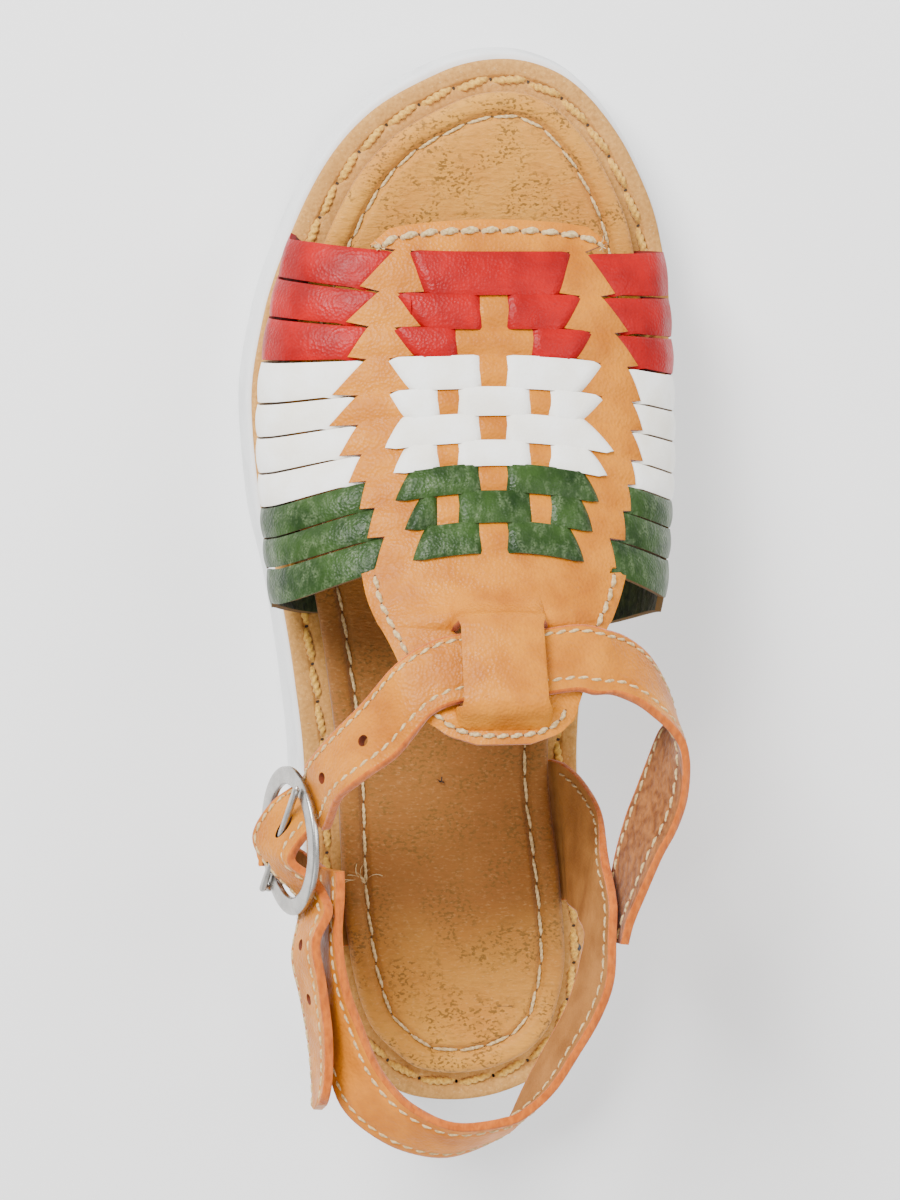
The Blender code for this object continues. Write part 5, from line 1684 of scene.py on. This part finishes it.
def heel_quarter():
    thin = BAND_THICKNESS * QUARTER_THINNING
    outside = grained("reddish_tan_leather", REDDISH_TAN, REDDISH_DARK, 0.45, grain=0.0009, depth=0.00010)
    inside = grained("pale_lining", LINING_PALE, LINING_SHADE, 0.55, grain=0.0006, depth=0.00005)
    inner = tuck_rows(1, INNER_QUARTER)
    inner += [sized_row(band_row(row), BAND_WIDTH * row[6], thin) for row in INNER_QUARTER_ROWS]
    inner += [sized_row(band_row(row), BAND_WIDTH * row[6], BAND_THICKNESS) for row in HEEL_ROWS]
    finishes = (outside, inside, raw_edge)
    band = strip("heel_band", inner, finishes, HEEL_SEAMS, seed=5)
    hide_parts("heel_quarter")
    last = len(inner) - 1.2
    strip_seam("heel_top_seam", inner, HEEL_SEAMS[0], False, 4.2, last, seed=6)
    strip_seam("heel_low_seam", inner, HEEL_SEAMS[1], True, 10.0, last, seed=7)
    strip_seam("heel_top_seam_inside", inner, HEEL_SEAMS[0], False, 4.6, last,
               below=True, thread=LINING_THREAD, seed=8)

    outer = tuck_rows(-1, OUTER_QUARTER)
    outer += [sized_row(band_row(row), BAND_WIDTH * row[6], thin) for row in OUTER_QUARTER_ROWS]
    leg = strip("outer_leg", turned_over(outer), finishes, HEEL_SEAMS, seed=10)
    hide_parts("heel_quarter")

    wide = Vector((-PRONG_ROOT[1] - PRONG_ROOT[0], PRONG_ROOT[0] / 2, 0.0)).normalized()
    half = wide * TAB_WIDTH / 2 / RING_ALONG
    rows = []
    for row in TAB_ROWS_AT_RING:
        ends = (on_ring(*(Vector(row) + half)), on_ring(*(Vector(row) - half)))
        rows.append(sized_row(ends, TAB_WIDTH, TAB_THICKNESS))
    tab = strip("ring_tab", turned_over(rows), finishes, TAB_SEAMS, seed=11)
    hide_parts("heel_quarter")


heel_quarter()

# Buckle: a flat oval ring of cast, satin nickel with softly rounded faces, and a bent wire prong
# hooked on its rear rim whose tip rests on its front rim.
NICKEL = (0.47, 0.455, 0.43)
NICKEL_WORN = (0.36, 0.35, 0.33)
RING_TUBE = 0.1
RING_SQUARENESS = 0.62
HOOK_STEPS = 40
SHANK_STEPS = 30
PRONG_SIDES = 16
TIP_ROUND = 0.0012


def satin_nickel():
    material, tree, shader = finish("satin_nickel", 0.30, 1.0)
    worn = spread(tree, clouds(tree, 0.004, 4.0), 0.35, 0.70)
    tree.links.new(toned(tree, worn, NICKEL, NICKEL_WORN), shader.inputs["Base Color"])
    polish = spread(tree, clouds(tree, 0.0012, 4.0), 0.3, 0.7, 0.22, 0.38)
    tree.links.new(polish, shader.inputs["Roughness"])
    embossed(tree, shader, [(clouds(tree, 0.0025, 3.0), 0.00008)])
    return material


nickel = satin_nickel()


def faced_out():
    """Turn the faces of the piece just made outward."""
    bpy.ops.object.mode_set(mode="EDIT")
    bpy.ops.mesh.select_all(action="SELECT")
    bpy.ops.mesh.normals_make_consistent(inside=False)
    bpy.ops.object.mode_set(mode="OBJECT")


def buckle_ring():
    bpy.ops.object.select_all(action="DESELECT")
    bpy.ops.mesh.primitive_torus_add(
        major_segments=128, minor_segments=28, major_radius=1.0, minor_radius=RING_TUBE)
    ring = bpy.context.object
    ring.name = "buckle_ring"

    def squared(share):
        return math.copysign(abs(share) ** RING_SQUARENESS, share)

    for vertex in ring.data.vertices:
        flat = Vector((vertex.co.x, vertex.co.y, 0.0))
        around = flat.normalized()
        rim = squared((flat.length - 1.0) / RING_TUBE) * RING_RIM / 2
        depth = squared(vertex.co.z / RING_TUBE) * RING_THICKNESS / 2
        toe = around.x * ((RING_ALONG - RING_RIM) / 2 + rim)
        up = around.y * ((RING_ACROSS - RING_RIM) / 2 + rim)
        vertex.co = on_ring(toe / RING_ALONG, up / RING_ALONG, depth / RING_ALONG)
    faced_out()
    bpy.ops.object.shade_smooth()
    ring.data.materials.append(nickel)
    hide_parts("buckle_frame")
    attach(ring, "root")


def buckle_pin():
    line = [list(point) for point in prong_points()]
    hook_end = len(line) - 2
    stations = [Vector(spline(line, hook_end * k / HOOK_STEPS)) for k in range(HOOK_STEPS + 1)]
    shank = Vector(line[hook_end]), Vector(line[-1])
    stations += [shank[0].lerp(shank[1], k / SHANK_STEPS) for k in range(1, SHANK_STEPS + 1)]
    count = len(stations) - 1
    across = (on_ring(0, 0, 1) - on_ring(0, 0, 0)).normalized()

    def place(u, v):
        k = round(u * count)
        run = (stations[min(k + 1, count)] - stations[max(k - 1, 0)]).normalized()
        side = run.cross(across.cross(run).cross(run)).normalized()
        up = run.cross(side).normalized()
        radius = PRONG_DIAMETER / 2
        from_tip = (stations[count] - stations[k]).length
        if from_tip <= TIP_ROUND:
            radius *= max(1.0 - (1.0 - from_tip / TIP_ROUND) ** 2, 0.02) ** 0.5
        angle = -2.0 * math.pi * v
        return stations[k] + (side * math.cos(angle) + up * math.sin(angle)) * radius

    pin = laid("buckle_pin", count, PRONG_SIDES, place)
    welded()
    faced_out()
    pin.data.materials.append(nickel)
    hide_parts("buckle_prong")
    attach(pin, "root")


buckle_ring()
buckle_pin()

# Studio: a pale floor and soft light all round, as for a catalogue, with the camera above the shoe,
# a little towards its toe and its outer side.
CAMERA_TARGET = Vector((-0.0022, -0.0039, 0.0250))
CAMERA_DISTANCE = 1.05
CAMERA_LEAN = 7.0
CAMERA_LENS = 131.04
SENSOR_WIDTH = 36.0
FLOOR_WHITE = (0.98, 0.98, 0.98)
FLOOR_SHADE = (0.96, 0.96, 0.96)
WORLD_STRENGTH = 0.90
LAMPS = (
    # place, size, power
    ((-0.62, 0.80, 1.00), 0.60, 34.0),
    ((0.80, 0.30, 1.20), 0.80, 9.0),
    ((-0.20, -1.00, 1.00), 0.90, 5.0),
)
LAMP_TARGET = Vector((0.0, 0.0, 0.03))
FLOOR_SIZE = 6.0


def studio():
    bpy.ops.object.select_all(action="DESELECT")
    bpy.ops.mesh.primitive_plane_add(size=FLOOR_SIZE)
    floor = bpy.context.object
    floor.name = "studio_floor"
    material, tree, shader = finish("studio_paper", 0.9)
    shade = spread(tree, clouds(tree, 0.4, 2.0), 0.3, 0.7)
    tree.links.new(toned(tree, shade, FLOOR_WHITE, FLOOR_SHADE), shader.inputs["Base Color"])
    floor.data.materials.append(material)

    world = bpy.data.worlds.new("studio")
    world.use_nodes = True
    sky = world.node_tree.nodes["Background"]
    sky.inputs["Color"].default_value = (1.0, 1.0, 1.0, 1.0)
    sky.inputs["Strength"].default_value = WORLD_STRENGTH
    bpy.context.scene.world = world

    for index, (place, size, power) in enumerate(LAMPS):
        light = bpy.data.lights.new(f"softbox_{index}", "AREA")
        light.size = size
        light.energy = power
        lamp = bpy.data.objects.new(f"softbox_{index}", light)
        lamp.location = place
        aim = LAMP_TARGET - Vector(place)
        lamp.rotation_euler = aim.to_track_quat("-Z", "Y").to_euler()
        bpy.context.collection.objects.link(lamp)


def camera():
    lean = math.tan(math.radians(CAMERA_LEAN))
    away = Vector((-lean, lean, 1.0)).normalized()
    up = Vector((0.0, 1.0, 0.0))
    up = (up - away * up.dot(away)).normalized()
    right = up.cross(away)
    lens = bpy.data.cameras.new("catalogue_camera")
    lens.lens = CAMERA_LENS
    lens.sensor_width = SENSOR_WIDTH
    eye = bpy.data.objects.new("catalogue_camera", lens)
    turn = [[right[i], up[i], away[i]] for i in range(3)]
    eye.rotation_euler = Matrix(turn).to_euler()
    eye.location = CAMERA_TARGET + away * CAMERA_DISTANCE
    bpy.context.collection.objects.link(eye)
    bpy.context.scene.camera = eye


studio()
camera()
